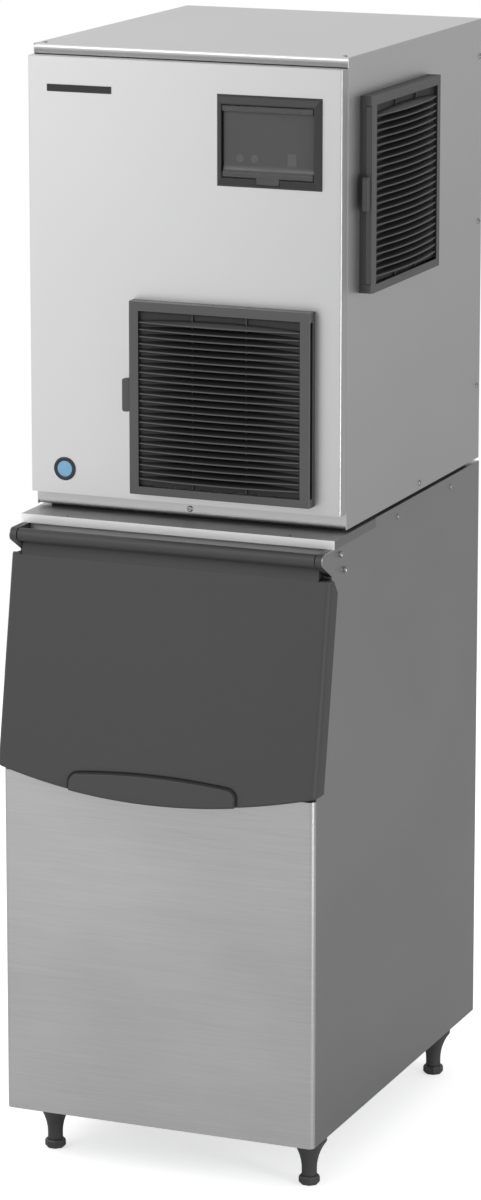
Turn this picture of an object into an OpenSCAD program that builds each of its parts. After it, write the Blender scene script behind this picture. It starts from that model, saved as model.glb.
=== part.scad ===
// Flake ice machine: an air-cooled ice maker standing on an insulated storage bin.
// Front faces -Y, +X is to the right of someone facing it, +Z is up, and the floor is Z = 0.
// The origin is in the middle of the machine's own footprint box, on the floor.

/* [Storage bin] */
// Width over the bin's side panels
bin_w = 562; // [540:1:600]
// Depth from the lower front panel to the back
bin_d = 795; // [760:1:850]
// Height from the bin's bottom to the top of its trim
bin_h = 1021; // [980:1:1080]
// Thickness of the stainless steel sheet
skin_t = 1.2; // [0.8:0.1:1.6]
// Bend radius of the two front corners
corner_r = 10; // [6:1:14]
// Thickness of the foam in the walls and floor
foam_t = 45; // [35:1:55]
// Wall of the moulded liner
liner_t = 3; // [2:0.5:4]
// Height of the bright trim along the top front edge
trim_h = 15; // [12:1:18]
// How far the trim stands back from the lower front panel
trim_set = 85; // [80:1:95]
// Length of the trim's arms along the sides
trim_arm = 190; // [150:5:230]
// Diameter of the ice drop opening in the deck
drop_d = 150; // [130:5:170]

/* [Bin door] */
// How far the door laps past each side panel
door_lap = 7; // [5:0.5:8]
// Height of the door from its shoulders to its lower corners
door_len = 352; // [330:1:380]
// Forward lean of the door over that height
door_lean = 64; // [56:1:72]
// Thickness of the door's slab
door_t = 21; // [18:1:22]
// Depth of the door's side returns
door_return = 38; // [34:1:42]
// Extra forward bow of the lower edge at its middle
door_bow = 10.5; // [6:0.5:16]
// Drop of the lower edge at its middle
door_sag = 35; // [20:1:45]
// Rounding of the door's side edges
door_r = 10; // [9:1:14]
// Radius of the hinge roll along the door's top
roll_r = 11.2; // [9:0.2:13]
// Hinge axis behind the lower front panel
hinge_set = 44; // [40:1:48]
// Radius of the hinge pins
pin_r = 5; // [4:0.5:6]
// How far the grip pad stands proud
pad_raise = 6; // [3:0.5:8]
// Half width of the grip pad's upper edge
pad_half = 150; // [120:1:180]

/* [Legs] */
// Height of the legs with their feet
leg_h = 98; // [90:1:115]
// Radius of a leg's top flange
leg_flange_r = 30; // [26:0.5:33]
// Radius of a leg's slim lower end
leg_r = 13; // [12:0.5:15]
// Radius over the corners of a foot
foot_r = 18; // [16:0.5:21]
// Height of a foot
foot_h = 15; // [12:1:20]
// Radius of a foot's threaded stem
stem_r = 6; // [5:0.5:7]
// Distance from the bin's sides to the legs
leg_side_in = 45; // [40:1:60]
// Distance from the bin's front to the front legs
leg_front_in = 99; // [80:1:120]
// Distance from the bin's back to the rear legs
leg_rear_in = 86; // [70:1:110]

/* [Ice maker cabinet] */
// Width of the ice maker
head_w = 560; // [540:1:590]
// Depth of the ice maker
head_d = 650; // [630:1:690]
// Height of the ice maker
head_h = 780; // [760:1:830]
// Thickness of the gasket between bin and ice maker
gasket_t = 6; // [4:0.5:10]
// How far the front panel stands proud of the cabinet
panel_proud = 26; // [22:1:30]
// Height of the base lip below the front panel
base_lip_h = 27; // [24:1:32]
// Height of the top cover's front lip
top_lip_h = 16; // [13:1:20]

/* [Louvre grilles] */
// Outer width of a grille
grille_w = 323; // [310:1:345]
// Outer height of a grille
grille_h = 325; // [318:1:335]
// How far a grille stands proud
grille_proud = 23; // [21:1:27]
// Width of the louvred opening
louvre_w = 288; // [276:1:295]
// Number of slats
slat_n = 23; // [18:1:24]
// Pitch of the slats
slat_pitch = 12; // [11.5:0.1:12.2]
// Outward bow of a slat at its middle
slat_bow = 11; // [6:0.5:14]
// Wall of the grille moulding
grille_t = 2.5; // [2:0.1:3]
// Thickness of the air filter
filter_t = 3.8; // [3:0.1:4]
// Front grille: centre to the right of the cabinet's middle
front_grille_x = 72; // [65:1:80]
// Front grille: centre above the cabinet's bottom
front_grille_z = 204; // [195:1:212]
// Side grille: centre behind the cabinet's front
side_grille_y = 214; // [205:1:230]
// Side grille: centre above the cabinet's bottom
side_grille_z = 550; // [540:1:560]

/* [Control panel] */
// Outer width of the bezel
bezel_w = 185; // [180:1:192]
// Outer height of the bezel
bezel_h = 151; // [146:1:158]
// Bezel centre to the right of the cabinet's middle
bezel_x = 153; // [145:1:160]
// Bezel centre above the cabinet's bottom
bezel_z = 639; // [630:1:645]
// Width of the flap over the keys
flap_w = 161; // [156:1:166]
// Height of the flap
flap_h = 119; // [114:1:122]
// Thickness of the flap
flap_t = 2.5; // [2:0.1:3]
// Radius of the round keys
key_r = 6.5; // [5:0.5:8]
// Travel of the keys
key_travel = 1.2; // [0.8:0.1:1.5]

/* [Ice making unit] */
// Bore radius of the evaporator
evap_r = 42; // [36:1:46]
// Height of the evaporator
evap_h = 300; // [260:5:320]
// Wall of the evaporator
evap_t = 8; // [6:0.5:10]
// Turns of the auger's flight
auger_turns = 4; // [3:1:6]
// Thickness of the insulation round the evaporator
evap_foam_t = 35; // [25:1:40]
// Radius of the condenser fan
fan_r = 118; // [105:1:120]
// Radius of the compressor's shell
comp_r = 78; // [70:1:82]
// Height of the compressor's shell
comp_h = 215; // [190:5:240]

/* [Hidden] */
$fn = 64;

// Clearances
run_clear = 0.06;   // radial, between a pin or shaft and its bore
slide_clear = 0.4;  // between pieces that move past each other
hole_clear = 0.1;   // radial, round a fixed shank or fitting
over = 1;           // how far a cut runs past the face it opens

// Door and hinge, measured from the lower front panel's face and the bin's bottom
door_hw = bin_w / 2 + door_lap;
hinge_z = bin_h - trim_h - roll_r;
door_set = 9;
shoulder_drop = 35.5;
door_top_z = hinge_z - shoulder_drop;
door_top_y = hinge_set + door_set;
door_low_z = door_top_z - door_len;
door_slope = door_lean / door_len;
sill_gap = 9;
sill_z = door_low_z - sill_gap;
sill_step = 4.5;
front_gap = 2;
throat_gap = 1;
throat_t = 14;
edge_back = door_t + throat_gap + 2;
door_rows = 5;
pad_cols = 5;
side_cols = 4;
pad_bevel = 1.5;
pad_rise = 9;
door_draft = 1;
door_chamfer = 12;
door_notch = 26;
block_t = 11.5;
block_gap = 1.2;
block_end = trim_set + 5;
header_set = trim_set + 7;
header_fit = 0.5;
pin_depth = 26;
ear_angle = 30;
nose_steps = 18;

function face_y(z) = door_top_y - door_slope * (door_top_z - z);
function belly(x) = 1 - pow(x / door_hw, 2);
function door_z(x, s) = door_top_z - s * (door_len + door_sag * belly(x));
function door_y(x, s) = face_y(door_z(x, s)) - door_bow * s * belly(x);
door_reach = pad_raise - door_y(0, 1);

// The ear's lower edge runs from the nose to the slanted front edge of the side panel
ear_y = hinge_set - roll_r * sin(ear_angle);
ear_z = hinge_z - roll_r * cos(ear_angle);
ear_low_y = (door_top_y + edge_back + door_slope * (ear_z + tan(ear_angle) * ear_y - door_top_z))
    / (1 + door_slope * tan(ear_angle));
ear_low_z = ear_z - tan(ear_angle) * (ear_low_y - ear_y);

// Bin inside
in_w = bin_w - 2 * skin_t;
wrap = corner_r + 0.5;
cavity_w = in_w - 2 * foam_t;
floor_t = 1.5;
cavity_floor = floor_t + foam_t;
cavity_front = skin_t + foam_t;
cavity_back = bin_d - skin_t - foam_t;
deck_under = bin_h - skin_t;
mouth_low = sill_z + 14;
mouth_top = ear_low_z - 6;
header_back = header_set + skin_t;
cavity_top_front = header_back + foam_t;
function throat_back(z) = face_y(z) + edge_back - 2 + throat_t;
ledge_d = 75;

// Ice drop, shared by deck, gasket, cabinet base and spout
spout_w = 92;
spout_t = 2.5;
spout_clear = 1;

// Ice maker placing
head_set = bin_d - head_d;
head_half = head_w / 2;
front_fit = 0.7;
panel_half = head_half - front_fit;
panel_low = base_lip_h;
panel_top = head_h - top_lip_h - 1.5;
panel_edge_r = 4;
flange = 14;
slat_set = 2;
side_reach = head_half + grille_proud + slat_bow - slat_set;
rear_reach = 18;

// Frame: the middle of the whole machine's box
mid_x = (door_hw - max(door_hw, side_reach)) / 2;
front_y = (door_reach - bin_d - rear_reach) / 2;

// Grille
slat_d = 4;
slat_len = 16;
slat_fall = 8;
slat_edge = 1.9;
slat_first = -grille_h / 2 + 25.5;
border_top = 15.5;
border_low = 13.5;
louvre_h = grille_h - border_top - border_low;
louvre_z = (border_low - border_top) / 2;
slot_h = louvre_h - 2;
slot_low = grille_t;
slot_high = 12.2;
filter_set = slat_set + slat_d + 0.9;
rib_set = 1.5;
inner_wall = 2;
filter_hold = 0.5;
tab_w = 13;
tab_half = 28;
tab_t = 8;
tab_z = 4;

// Control panel
bezel_proud = 9.4;
bezel_rim = 2;
bevel_w = 3.5;
bevel_h = 6;
bezel_in = 6;
bezel_r = 4;
flap_dx = 0;
flap_dz = 0;
flap_gap = 0.8;
flap_set = -bezel_proud;
flap_back = 5.5;
flap_lip = 10;
flap_sweep = 12;
flap_pin_r = 1;
flap_pin_len = 1.9;
flap_pin_gap = 0.3;
flap_shelf = 5;
shelf_y = flap_set + flap_back + flap_t + slide_clear;
plate_t = 2.5;
plate_shelf = 6;
plate_y = shelf_y + 2.6;
bezel_depth = plate_y + 2 * plate_t;
key_proud = 1.8;
key_gap = 0.3;
key_lip = 1.5;
key_lip_t = 1.2;
key_z = -28;
left_key_x = -52;
right_key_x = -26;
power_key_x = 39;
power_key_w = 14.5;
power_key_h = 21;
window_w = 34;
window_h = 26;
window_x = 2;
window_z = 20;
flap_tab_w = 40;
flap_tab_h = 9.5;
box_depth = 95;

// Ice making unit, in the cabinet's own frame
evap_x = -150;
evap_y = 450;
gear_h = 130;
gear_w = 150;
gear_top = floor_t + gear_h;
evap_top = gear_top + evap_h;
extrude_h = 50;
extrude_r = evap_r + 16;
shaft_r = 16;
cutter_h = 26;
cutter_r = 44;
cap_r = extrude_r + 6;
cap_h = 58;
cap_skirt = 20;
unit_half = max(gear_w / 2, evap_r + evap_t + evap_foam_t);
spout_y = evap_y - unit_half - spout_clear - spout_w / 2;
spout_drop = 0.5;
drop_y = head_set + spout_y;
motor_r = 45;
motor_len = 90;

// Condenser and fan
cond_w = 300;
cond_d = 50;
cond_h = 290;
cond_y = 20;
cond_plate = 2;
cond_fins = 14;
cond_tubes = 5;
cond_tube_r = 5;
shroud_t = 2;
ring_gap = 6;
ring_len = 40;
fan_y = cond_y + cond_d + 12;
fan_hub_r = 30;
fan_hub_len = 24;
fan_blades = 5;
fan_blade_t = 2.5;
fan_shaft_r = 4;
arm_w = 22;
arm_t = 3;
fan_motor_r = 42;
fan_motor_len = 60;

// Compressor, reservoir and rear fittings
comp_x = 130;
comp_y = 430;
comp_foot_t = 4;
comp_foot = 190;
grommet_r = 14;
grommet_h = 10;
tank_w = 84;
tank_d = 96;
tank_h = 120;
tank_t = 2.5;
tank_z = 380;
tank_x = 0;
float_r = 19;
float_h = 30;
float_stem_r = 4;
float_seat = 12;
inlet_x = 0;
inlet_z = 545;
inlet_r = 10;
drain_x = -70;
drain_z = 45;
gland_x = 200;
gland_z = 70;
gland_r = 11;
nut_rim = 4;
nut_t = 4;
vent_n = 14;
vent_w = 220;
vent_h = 6;
vent_pitch = 14;
vent_z = 560;

// Screws: places on the cabinet's and bin's sides as [behind the front, above the bottom]
screw_r = 4.5;
screw_h = 1.8;
screw_shank_r = 2;
rear_in = 14;
side_screw_high = 65;
side_screw_mid = 355;
side_screw_low = 648;
foot_screw_in = 302;
foot_screw_z = 12;
head_side_screws = [
    [head_d - rear_in, head_h - side_screw_high], [head_d - rear_in, head_h - side_screw_mid],
    [head_d - rear_in, head_h - side_screw_low], [head_d - foot_screw_in, foot_screw_z]
];
deck_screw_far = 650;
deck_screw_near = 387;
deck_screw_drop = 19;
ear_screw_y = 113;
ear_screw_drop = 28;
ear_screw_low_y = 134;
ear_screw_low_drop = 58;
bin_side_screws = [
    [deck_screw_far, bin_h - deck_screw_drop], [deck_screw_near, bin_h - deck_screw_drop],
    [ear_screw_y, bin_h - ear_screw_drop], [ear_screw_low_y, bin_h - ear_screw_low_drop]
];
top_screw_in = 13;
lip_screw_z = 13;

leg_places = [
    [-bin_w / 2 + leg_side_in, leg_front_in], [bin_w / 2 - leg_side_in, leg_front_in],
    [-bin_w / 2 + leg_side_in, bin_d - leg_rear_in], [bin_w / 2 - leg_side_in, bin_d - leg_rear_in]
];
foot_gap = 0.5;
leg_sweep = 83;
leg_slim = 26;
stem_len = 40;
bin_drain_r = 16;
bin_drain_wall = 3;
bin_drain_in = 190;
bin_drain_y = bin_d - bin_drain_in;
bin_drain_flange = 8;

// Frames of the bin and of the ice maker
module at_bin() { translate([mid_x, front_y, leg_h]) children(); }
module at_head() { translate([mid_x, front_y + head_set, leg_h + bin_h + gasket_t]) children(); }
module at_bezel() {
    at_head() translate([bezel_x, -panel_proud, bezel_z]) children();
}
module at_front_grille() {
    at_head() translate([front_grille_x, -panel_proud, front_grille_z]) children();
}
module at_side_grille() {
    at_head() translate([head_half, side_grille_y, side_grille_z]) rotate([0, 0, 90]) children();
}

// A (depth, height) outline drawn out across the width
module across(w) { rotate([90, 0, 90]) linear_extrude(w, center = true) children(); }

// A (width, height) outline drawn out from front to back
module into(y0, y1) {
    translate([0, y1, 0]) rotate([90, 0, 0]) linear_extrude(y1 - y0) children();
}

module round_y(r, y0, y1) { translate([0, y0, 0]) rotate([-90, 0, 0]) cylinder(h = y1 - y0, r = r); }
module round_x(r, x0, x1) { translate([x0, 0, 0]) rotate([0, 90, 0]) cylinder(h = x1 - x0, r = r); }

// Rectangle with round corners, centred
module rounded(w, h, r) {
    square([w - 2 * r, h], center = true);
    square([w, h - 2 * r], center = true);
    for (x = [-1, 1], y = [-1, 1])
        translate([x * (w / 2 - r), y * (h / 2 - r)]) circle(r);
}

// Plan of a pan: full width, from y0 back to y1, with its two front corners bent round
module front_plan(half, y0, y1, r) {
    translate([-half + r, y0]) square([2 * (half - r), y1 - y0]);
    translate([-half, y0 + r]) square([2 * half, y1 - y0 - r]);
    for (x = [-1, 1]) translate([x * (half - r), y0 + r]) intersection() {
        circle(r);
        translate([-r, -r]) square([2 * r, min(2 * r, y1 - y0)]);
    }
}

module screw_head() {
    cylinder(h = screw_h * 0.6, r = screw_r);
    translate([0, 0, screw_h * 0.6]) cylinder(h = screw_h * 0.4, r1 = screw_r, r2 = screw_r * 0.75);
    translate([0, 0, -skin_t]) cylinder(h = skin_t, r = screw_shank_r);
}

// Side of the bin, seen from the right, as [depth, height]
module bin_side_outline() {
    polygon(concat(
        [[wrap, 0], [wrap, sill_z], [face_y(sill_z) + edge_back, sill_z], [ear_low_y, ear_low_z]],
        [for (k = [0:nose_steps]) nose_point(270 - ear_angle - k * (180 - ear_angle) / nose_steps)],
        [[trim_set + trim_arm, bin_h - trim_h], [trim_set + trim_arm, bin_h], [bin_d, bin_h], [bin_d, 0]]
    ));
}
function nose_point(a) = [hinge_set + roll_r * cos(a), hinge_z + roll_r * sin(a)];

module bin_side(side) {
    at_bin() difference() {
        translate([side * (bin_w / 2 - skin_t / 2), 0, 0]) across(skin_t) bin_side_outline();
        for (p = bin_side_screws) translate([0, p[0], p[1]])
            round_x(screw_shank_r + hole_clear, -bin_w, bin_w);
    }
}

module bin_right_panel() { color("silver") bin_side(1); }
module bin_left_panel() { color("silver") bin_side(-1); }

// Lower front panel, bent round both front corners, with a folded sill
module bin_front_panel() {
    color("silver") at_bin() {
        difference() {
            linear_extrude(sill_z) front_plan(bin_w / 2, 0, wrap, corner_r);
            translate([0, 0, -over]) linear_extrude(sill_z - skin_t + over)
                front_plan(bin_w / 2 - skin_t, skin_t, wrap + over, corner_r - skin_t);
        }
    }
}

module bin_rear_panel() {
    color("silver") at_bin()
        translate([-in_w / 2, bin_d - skin_t, 0]) cube([in_w, skin_t, bin_h]);
}

module bin_base() {
    color("darkgray") at_bin() difference() {
        translate([-in_w / 2, wrap, 0]) cube([in_w, bin_d - skin_t - wrap, floor_t]);
        translate([0, bin_drain_y, -over])
            cylinder(h = floor_t + 2 * over, r = bin_drain_r + hole_clear);
    }
}

// Inside of the insulated walls, open at the top and at the door's mouth
module cavity_outline(inset, open) {
    polygon([
        [cavity_front + inset, cavity_floor + inset], [cavity_back - inset, cavity_floor + inset],
        [cavity_back - inset, deck_under + open], [cavity_top_front + inset, deck_under + open],
        [cavity_top_front + inset, mouth_top - inset],
        [throat_back(mouth_top - inset) - open, mouth_top - inset],
        [throat_back(mouth_low + inset) - open, mouth_low + inset],
        [cavity_front + inset, mouth_low + inset]
    ]);
}

module bin_insulation() {
    color("khaki") at_bin() difference() {
        across(in_w) polygon([
            [wrap, floor_t], [bin_d - skin_t, floor_t], [bin_d - skin_t, deck_under],
            [header_back, deck_under], [header_back, ear_low_z],
            [throat_back(ear_low_z), ear_low_z], [throat_back(sill_z), sill_z], [wrap, sill_z]
        ]);
        across(cavity_w) cavity_outline(0, over);
        translate([0, bin_drain_y, 0]) cylinder(h = cavity_floor, r = bin_drain_r + hole_clear);
    }
}

module bin_liner() {
    color("whitesmoke") at_bin() difference() {
        across(cavity_w) cavity_outline(0, 0);
        across(cavity_w - 2 * liner_t) cavity_outline(liner_t, over);
        translate([0, bin_drain_y, cavity_floor - over])
            cylinder(h = liner_t + 2 * over, r = bin_drain_r + hole_clear);
    }
}

// Frame round the mouth, which the closed door lies against
module bin_throat() {
    color("dimgray") at_bin() difference() {
        across(in_w) polygon([
            [throat_back(sill_z) - throat_t, sill_z], [throat_back(sill_z), sill_z],
            [throat_back(ear_low_z), ear_low_z], [throat_back(ear_low_z) - throat_t, ear_low_z]
        ]);
        translate([-cavity_w / 2 + liner_t, 0, mouth_low + liner_t])
            cube([cavity_w - 2 * liner_t, bin_d, mouth_top - mouth_low - 2 * liner_t]);
    }
}

// Rail behind the hinge roll, under the trim
module bin_header() {
    color("gray") at_bin() {
        translate([-in_w / 2, header_set, ear_low_z + header_fit])
            cube([in_w, skin_t, bin_h - trim_h - ear_low_z - header_fit]);
        translate([-in_w / 2, trim_set + skin_t, bin_h - trim_h])
            cube([in_w, header_back - trim_set - skin_t, skin_t]);
    }
}

// Folded trim along the top front edge, with an arm on each side
module bin_top_trim() {
    proud = 1.5;
    color("gainsboro") at_bin() {
        translate([-bin_w / 2 - proud, trim_set, bin_h - skin_t])
            cube([bin_w + 2 * proud, ledge_d, skin_t]);
        translate([-bin_w / 2 - proud, trim_set, bin_h - trim_h])
            cube([bin_w + 2 * proud, skin_t, trim_h - skin_t]);
        for (side = [-1, 1])
            translate([side * (bin_w / 2 + (proud - skin_t) / 2), trim_set, bin_h - trim_h])
                translate([-(skin_t + proud) / 2, 0, 0]) cube([skin_t + proud, trim_arm, trim_h]);
    }
}

// Deck that carries the ice maker, with the ice drop opening
module bin_deck() {
    color("silver") at_bin() difference() {
        translate([-in_w / 2, trim_set + ledge_d, deck_under])
            cube([in_w, bin_d - skin_t - trim_set - ledge_d, skin_t]);
        translate([evap_x, drop_y, deck_under - over])
            cylinder(h = skin_t + 2 * over, d = drop_d);
    }
}

module bin_gasket() {
    gasket_in = 18;
    gasket_w = 24;
    color("black") at_bin() translate([0, head_set, bin_h]) difference() {
        translate([-head_half + gasket_in, gasket_in, 0])
            cube([head_w - 2 * gasket_in, head_d - 2 * gasket_in, gasket_t]);
        translate([-head_half + gasket_in + gasket_w, gasket_in + gasket_w, -over])
            cube([
                head_w - 2 * (gasket_in + gasket_w), head_d - 2 * (gasket_in + gasket_w),
                gasket_t + 2 * over
            ]);
    }
}

// Door: a skin of columns across and rows down, with a matching inner skin.
// Each column is [distance across, how far the rounded edge falls back there].
door_flat = door_hw - door_r;
door_in = bin_w / 2 + slide_clear;
door_lip = door_in + door_draft;
function edge_in(x) = abs(x) <= door_flat ? 0
    : door_r - sqrt(max(0, pow(door_r, 2) - pow(abs(x) - door_flat, 2)));
half_columns = concat(
    [for (k = [0:pad_cols]) pad_half * k / pad_cols], [pad_half + pad_bevel],
    [for (k = [1:side_cols]) pad_half + pad_bevel + (door_flat - pad_half - pad_bevel) * k / side_cols],
    [door_in, door_lip], [for (f = [0.55, 0.85, 1]) door_lip + (door_hw - door_lip) * f]
);
nh = len(half_columns);
door_columns = concat([for (k = [nh - 1:-1:1]) -half_columns[k]], half_columns);
nc = len(door_columns);
nr = door_rows + 5;
function pad_top(x) = door_low_z + 2 + pad_rise * (1 - pow(x / pad_half, 2));
function low_z(x) = door_z(x, 1);
function on_pad(x) = abs(x) <= pad_half;
function by_pad(x) = abs(x) <= pad_half + pad_bevel;
band_z = door_low_z + 30;
function upper_z(j) = j < 2 ? door_top_z - j * door_chamfer
    : door_top_z - door_chamfer - (door_top_z - door_chamfer - band_z) * (j - 1) / door_rows;
function front_z(x, j) = j <= door_rows + 1 ? upper_z(j)
    : j == nr - 1 ? low_z(x)
    : by_pad(x) ? min(pad_top(x), pad_top(pad_half) + pad_rise) - (j == nr - 2 ? pad_bevel : 0)
    : band_z - (band_z - low_z(x)) * (j - door_rows - 1) / 3;
function bow_at(x, z) = door_bow * belly(x) * (door_top_z - z) / (door_top_z - low_z(x));
function front_at(x, j) = let(z = front_z(x, j))
    [x, face_y(z) - bow_at(x, z) + edge_in(x) - (on_pad(x) && j >= nr - 2 ? pad_raise : 0), z];
ramp_z = sill_z + 14;
ramp_h = 18;
function inner_z(x, j) = j <= door_rows + 1 ? upper_z(j)
    : j == nr - 1 ? low_z(x) : ramp_z + (j == nr - 3 ? ramp_h : 0);
function inner_y(x, j) = abs(x) > door_in + door_draft / 2
    ? face_y(inner_z(x, j)) + (j == 0 ? door_return - door_notch : door_return)
    : j >= nr - 2 ? -front_gap : face_y(inner_z(x, j)) + door_t;
function inner_at(x, j) = [x, inner_y(x, j), inner_z(x, j)];
function split(q) = [[q[0], q[1], q[2]], [q[0], q[2], q[3]]];

module door_body() {
    front = [for (j = [0:nr - 1], x = door_columns) front_at(x, j)];
    inner = [for (j = [0:nr - 1], x = door_columns) inner_at(x, j)];
    b = nc * nr;
    last = (nr - 1) * nc;
    quads = concat(
        [for (j = [0:nr - 2], i = [0:nc - 2])
            [j * nc + i, j * nc + i + 1, j * nc + nc + i + 1, j * nc + nc + i]],
        [for (j = [0:nr - 2], i = [0:nc - 2])
            [b + j * nc + i, b + j * nc + nc + i, b + j * nc + nc + i + 1, b + j * nc + i + 1]],
        [for (i = [0:nc - 2]) [i, b + i, b + i + 1, i + 1]],
        [for (i = [0:nc - 2]) [last + i, last + i + 1, b + last + i + 1, b + last + i]],
        [for (j = [0:nr - 2]) [j * nc, j * nc + nc, b + j * nc + nc, b + j * nc]],
        [for (j = [0:nr - 2])
            [j * nc + nc - 1, b + j * nc + nc - 1, b + j * nc + 2 * nc - 1, j * nc + 2 * nc - 1]]
    );
    polyhedron(points = concat(front, inner), faces = [for (q = quads, t = split(q)) t]);
}

module bin_door() {
    neck_half = in_w / 2 - block_t - block_gap;
    sunk = 5;
    set_in = 1;
    color("dimgray") at_bin() difference() {
        union() {
            door_body();
            across(2 * neck_half) polygon([
                [face_y(door_top_z - sunk) + set_in, door_top_z - sunk],
                [face_y(door_top_z + door_t - 4), door_top_z + door_t - 4],
                [hinge_set + roll_r * 0.5, hinge_z - roll_r * 0.6], [hinge_set + roll_r * 0.2, hinge_z],
                [hinge_set + roll_r * 0.9, hinge_z + roll_r * 0.13],
                [face_y(door_top_z) + door_t, door_top_z + roll_r],
                [face_y(door_top_z - sunk) + door_t - set_in, door_top_z - sunk]
            ]);
            translate([0, hinge_set, hinge_z]) round_x(roll_r, -neck_half, neck_half);
        }
        for (side = [-1, 1]) translate([side * neck_half, hinge_set, hinge_z])
            round_x(pin_r + run_clear, -pin_depth - over, pin_depth + over);
    }
}

// Block behind each ear, with the pin that the door swings on
module hinge_blocks() {
    color("dimgray") at_bin() for (side = [-1, 1]) {
        translate([side * (in_w / 2 - block_t / 2), 0, 0]) across(block_t) intersection() {
            bin_side_outline();
            translate([0, ear_low_z + over]) square([block_end, bin_h - trim_h - ear_low_z - over]);
        }
        translate([side * (in_w / 2 - block_t - (pin_depth + block_gap) / 2), hinge_set, hinge_z])
            round_x(pin_r, -(pin_depth + block_gap) / 2, (pin_depth + block_gap) / 2);
    }
}

module bin_drain() {
    drain_low = -14;
    color("white") at_bin() translate([0, bin_drain_y, 0]) difference() {
        union() {
            translate([0, 0, drain_low]) cylinder(h = cavity_floor + liner_t - drain_low, r = bin_drain_r);
            translate([0, 0, cavity_floor + liner_t])
                cylinder(h = liner_t, r = bin_drain_r + bin_drain_flange);
        }
        translate([0, 0, drain_low - over]) cylinder(
            h = cavity_floor + 2 * liner_t - drain_low + 2 * over, r = bin_drain_r - bin_drain_wall
        );
    }
}

module bin_screws() {
    color("lightgray") at_bin() for (side = [-1, 1], p = bin_side_screws)
        translate([side * bin_w / 2, p[0], p[1]]) rotate([0, side * 90, 0]) screw_head();
}

// Tapered leg with a flared top and a bore for its foot's stem
module leg(i) {
    leg_low = foot_h + foot_gap;
    color("dimgray") translate([mid_x + leg_places[i][0], front_y + leg_places[i][1], 0])
        rotate_extrude() difference() {
            translate([0, leg_low]) square([leg_flange_r, leg_h - leg_low]);
            translate([leg_r + leg_sweep, leg_slim]) circle(leg_sweep, $fn = 180);
            translate([leg_r, leg_low - over]) square([leg_flange_r, leg_slim - leg_low + over]);
            translate([0, leg_low - over]) square([stem_r + run_clear, stem_len + 2 * over]);
        }
}

// Octagonal foot on a threaded stem
module foot(i) {
    color("dimgray") translate([mid_x + leg_places[i][0], front_y + leg_places[i][1], 0]) {
        rotate([0, 0, 22.5]) {
            cylinder(h = foot_h * 0.2, r1 = foot_r * 0.86, r2 = foot_r, $fn = 8);
            translate([0, 0, foot_h * 0.2]) cylinder(h = foot_h * 0.6, r = foot_r, $fn = 8);
            translate([0, 0, foot_h * 0.8])
                cylinder(h = foot_h * 0.2, r1 = foot_r, r2 = foot_r * 0.9, $fn = 8);
        }
        translate([0, 0, foot_h]) cylinder(h = stem_len, r = stem_r);
    }
}

module leg_front_left() { leg(0); }
module leg_front_right() { leg(1); }
module leg_rear_left() { leg(2); }
module leg_rear_right() { leg(3); }
module foot_front_left() { foot(0); }
module foot_front_right() { foot(1); }
module foot_rear_left() { foot(2); }
module foot_rear_right() { foot(3); }

// Base pan of the ice maker: floor, rolled front lip and upstanding flanges
module head_base() {
    lip_r = 9;
    wide = head_w - 2 * skin_t;
    color("silver") at_head() difference() {
        union() {
            translate([-wide / 2, lip_r, 0]) cube([wide, head_d - skin_t - lip_r, floor_t]);
            across(wide) difference() {
                union() {
                    translate([0, lip_r]) square([skin_t, base_lip_h - lip_r]);
                    translate([lip_r, lip_r]) circle(lip_r);
                }
                translate([lip_r, lip_r]) circle(lip_r - skin_t);
                translate([lip_r, -over]) square([lip_r + over, base_lip_h + 2 * over]);
                translate([skin_t, lip_r]) square([lip_r, base_lip_h]);
            }
            translate([-wide / 2, head_d - 2 * skin_t, 0]) cube([wide, skin_t, flange]);
            for (side = [-1, 1]) translate([side * (wide / 2 - skin_t / 2), head_d / 2, flange / 2])
                cube([skin_t, head_d - 2 * lip_r, flange], center = true);
        }
        translate([evap_x - spout_w / 2 - spout_clear, spout_y - spout_w / 2 - spout_clear, -over])
            cube([spout_w + 2 * spout_clear, spout_w + 2 * spout_clear, floor_t + 2 * over]);
        translate([0, 0, lip_screw_z]) round_y(screw_shank_r + hole_clear, -over, 2 * skin_t);
    }
}

// Pan-shaped front panel with cut-outs for the grille and the control bezel
module head_front_panel() {
    tall = panel_top - panel_low;
    color("gainsboro") at_head() difference() {
        translate([0, 0, panel_low]) linear_extrude(tall)
            front_plan(panel_half, -panel_proud, 0, panel_edge_r);
        translate([0, 0, panel_low + skin_t]) linear_extrude(tall - 2 * skin_t)
            front_plan(panel_half - skin_t, -panel_proud + skin_t, over, panel_edge_r - skin_t);
        translate([front_grille_x, 0, front_grille_z + louvre_z]) into(-panel_proud - over, 0)
            square([louvre_w, louvre_h], center = true);
        translate([bezel_x, 0, bezel_z]) into(-panel_proud - over, 0)
            rounded(
                bezel_w - 2 * bezel_in + 2 * hole_clear, bezel_h - 2 * bezel_in + 2 * hole_clear, bezel_r
            );
    }
}

module head_side(side) {
    translate([side * (head_half - skin_t / 2), head_d / 2, head_h / 2])
        cube([skin_t, head_d, head_h], center = true);
    translate([side * (head_half - skin_t - flange / 2), skin_t / 2, head_h / 2])
        cube([flange, skin_t, head_h - 2 * top_lip_h - 2 * base_lip_h], center = true);
}

module side_screw_holes() {
    for (p = head_side_screws) translate([0, p[0], p[1]])
        round_x(screw_shank_r + hole_clear, -head_w, head_w);
}

module head_right_panel() {
    color("silver") at_head() difference() {
        head_side(1);
        translate([head_half, side_grille_y, side_grille_z + louvre_z])
            cube([4 * skin_t, louvre_w, louvre_h], center = true);
        side_screw_holes();
    }
}

module head_left_panel() {
    color("silver") at_head() difference() {
        head_side(-1);
        side_screw_holes();
    }
}

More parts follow.
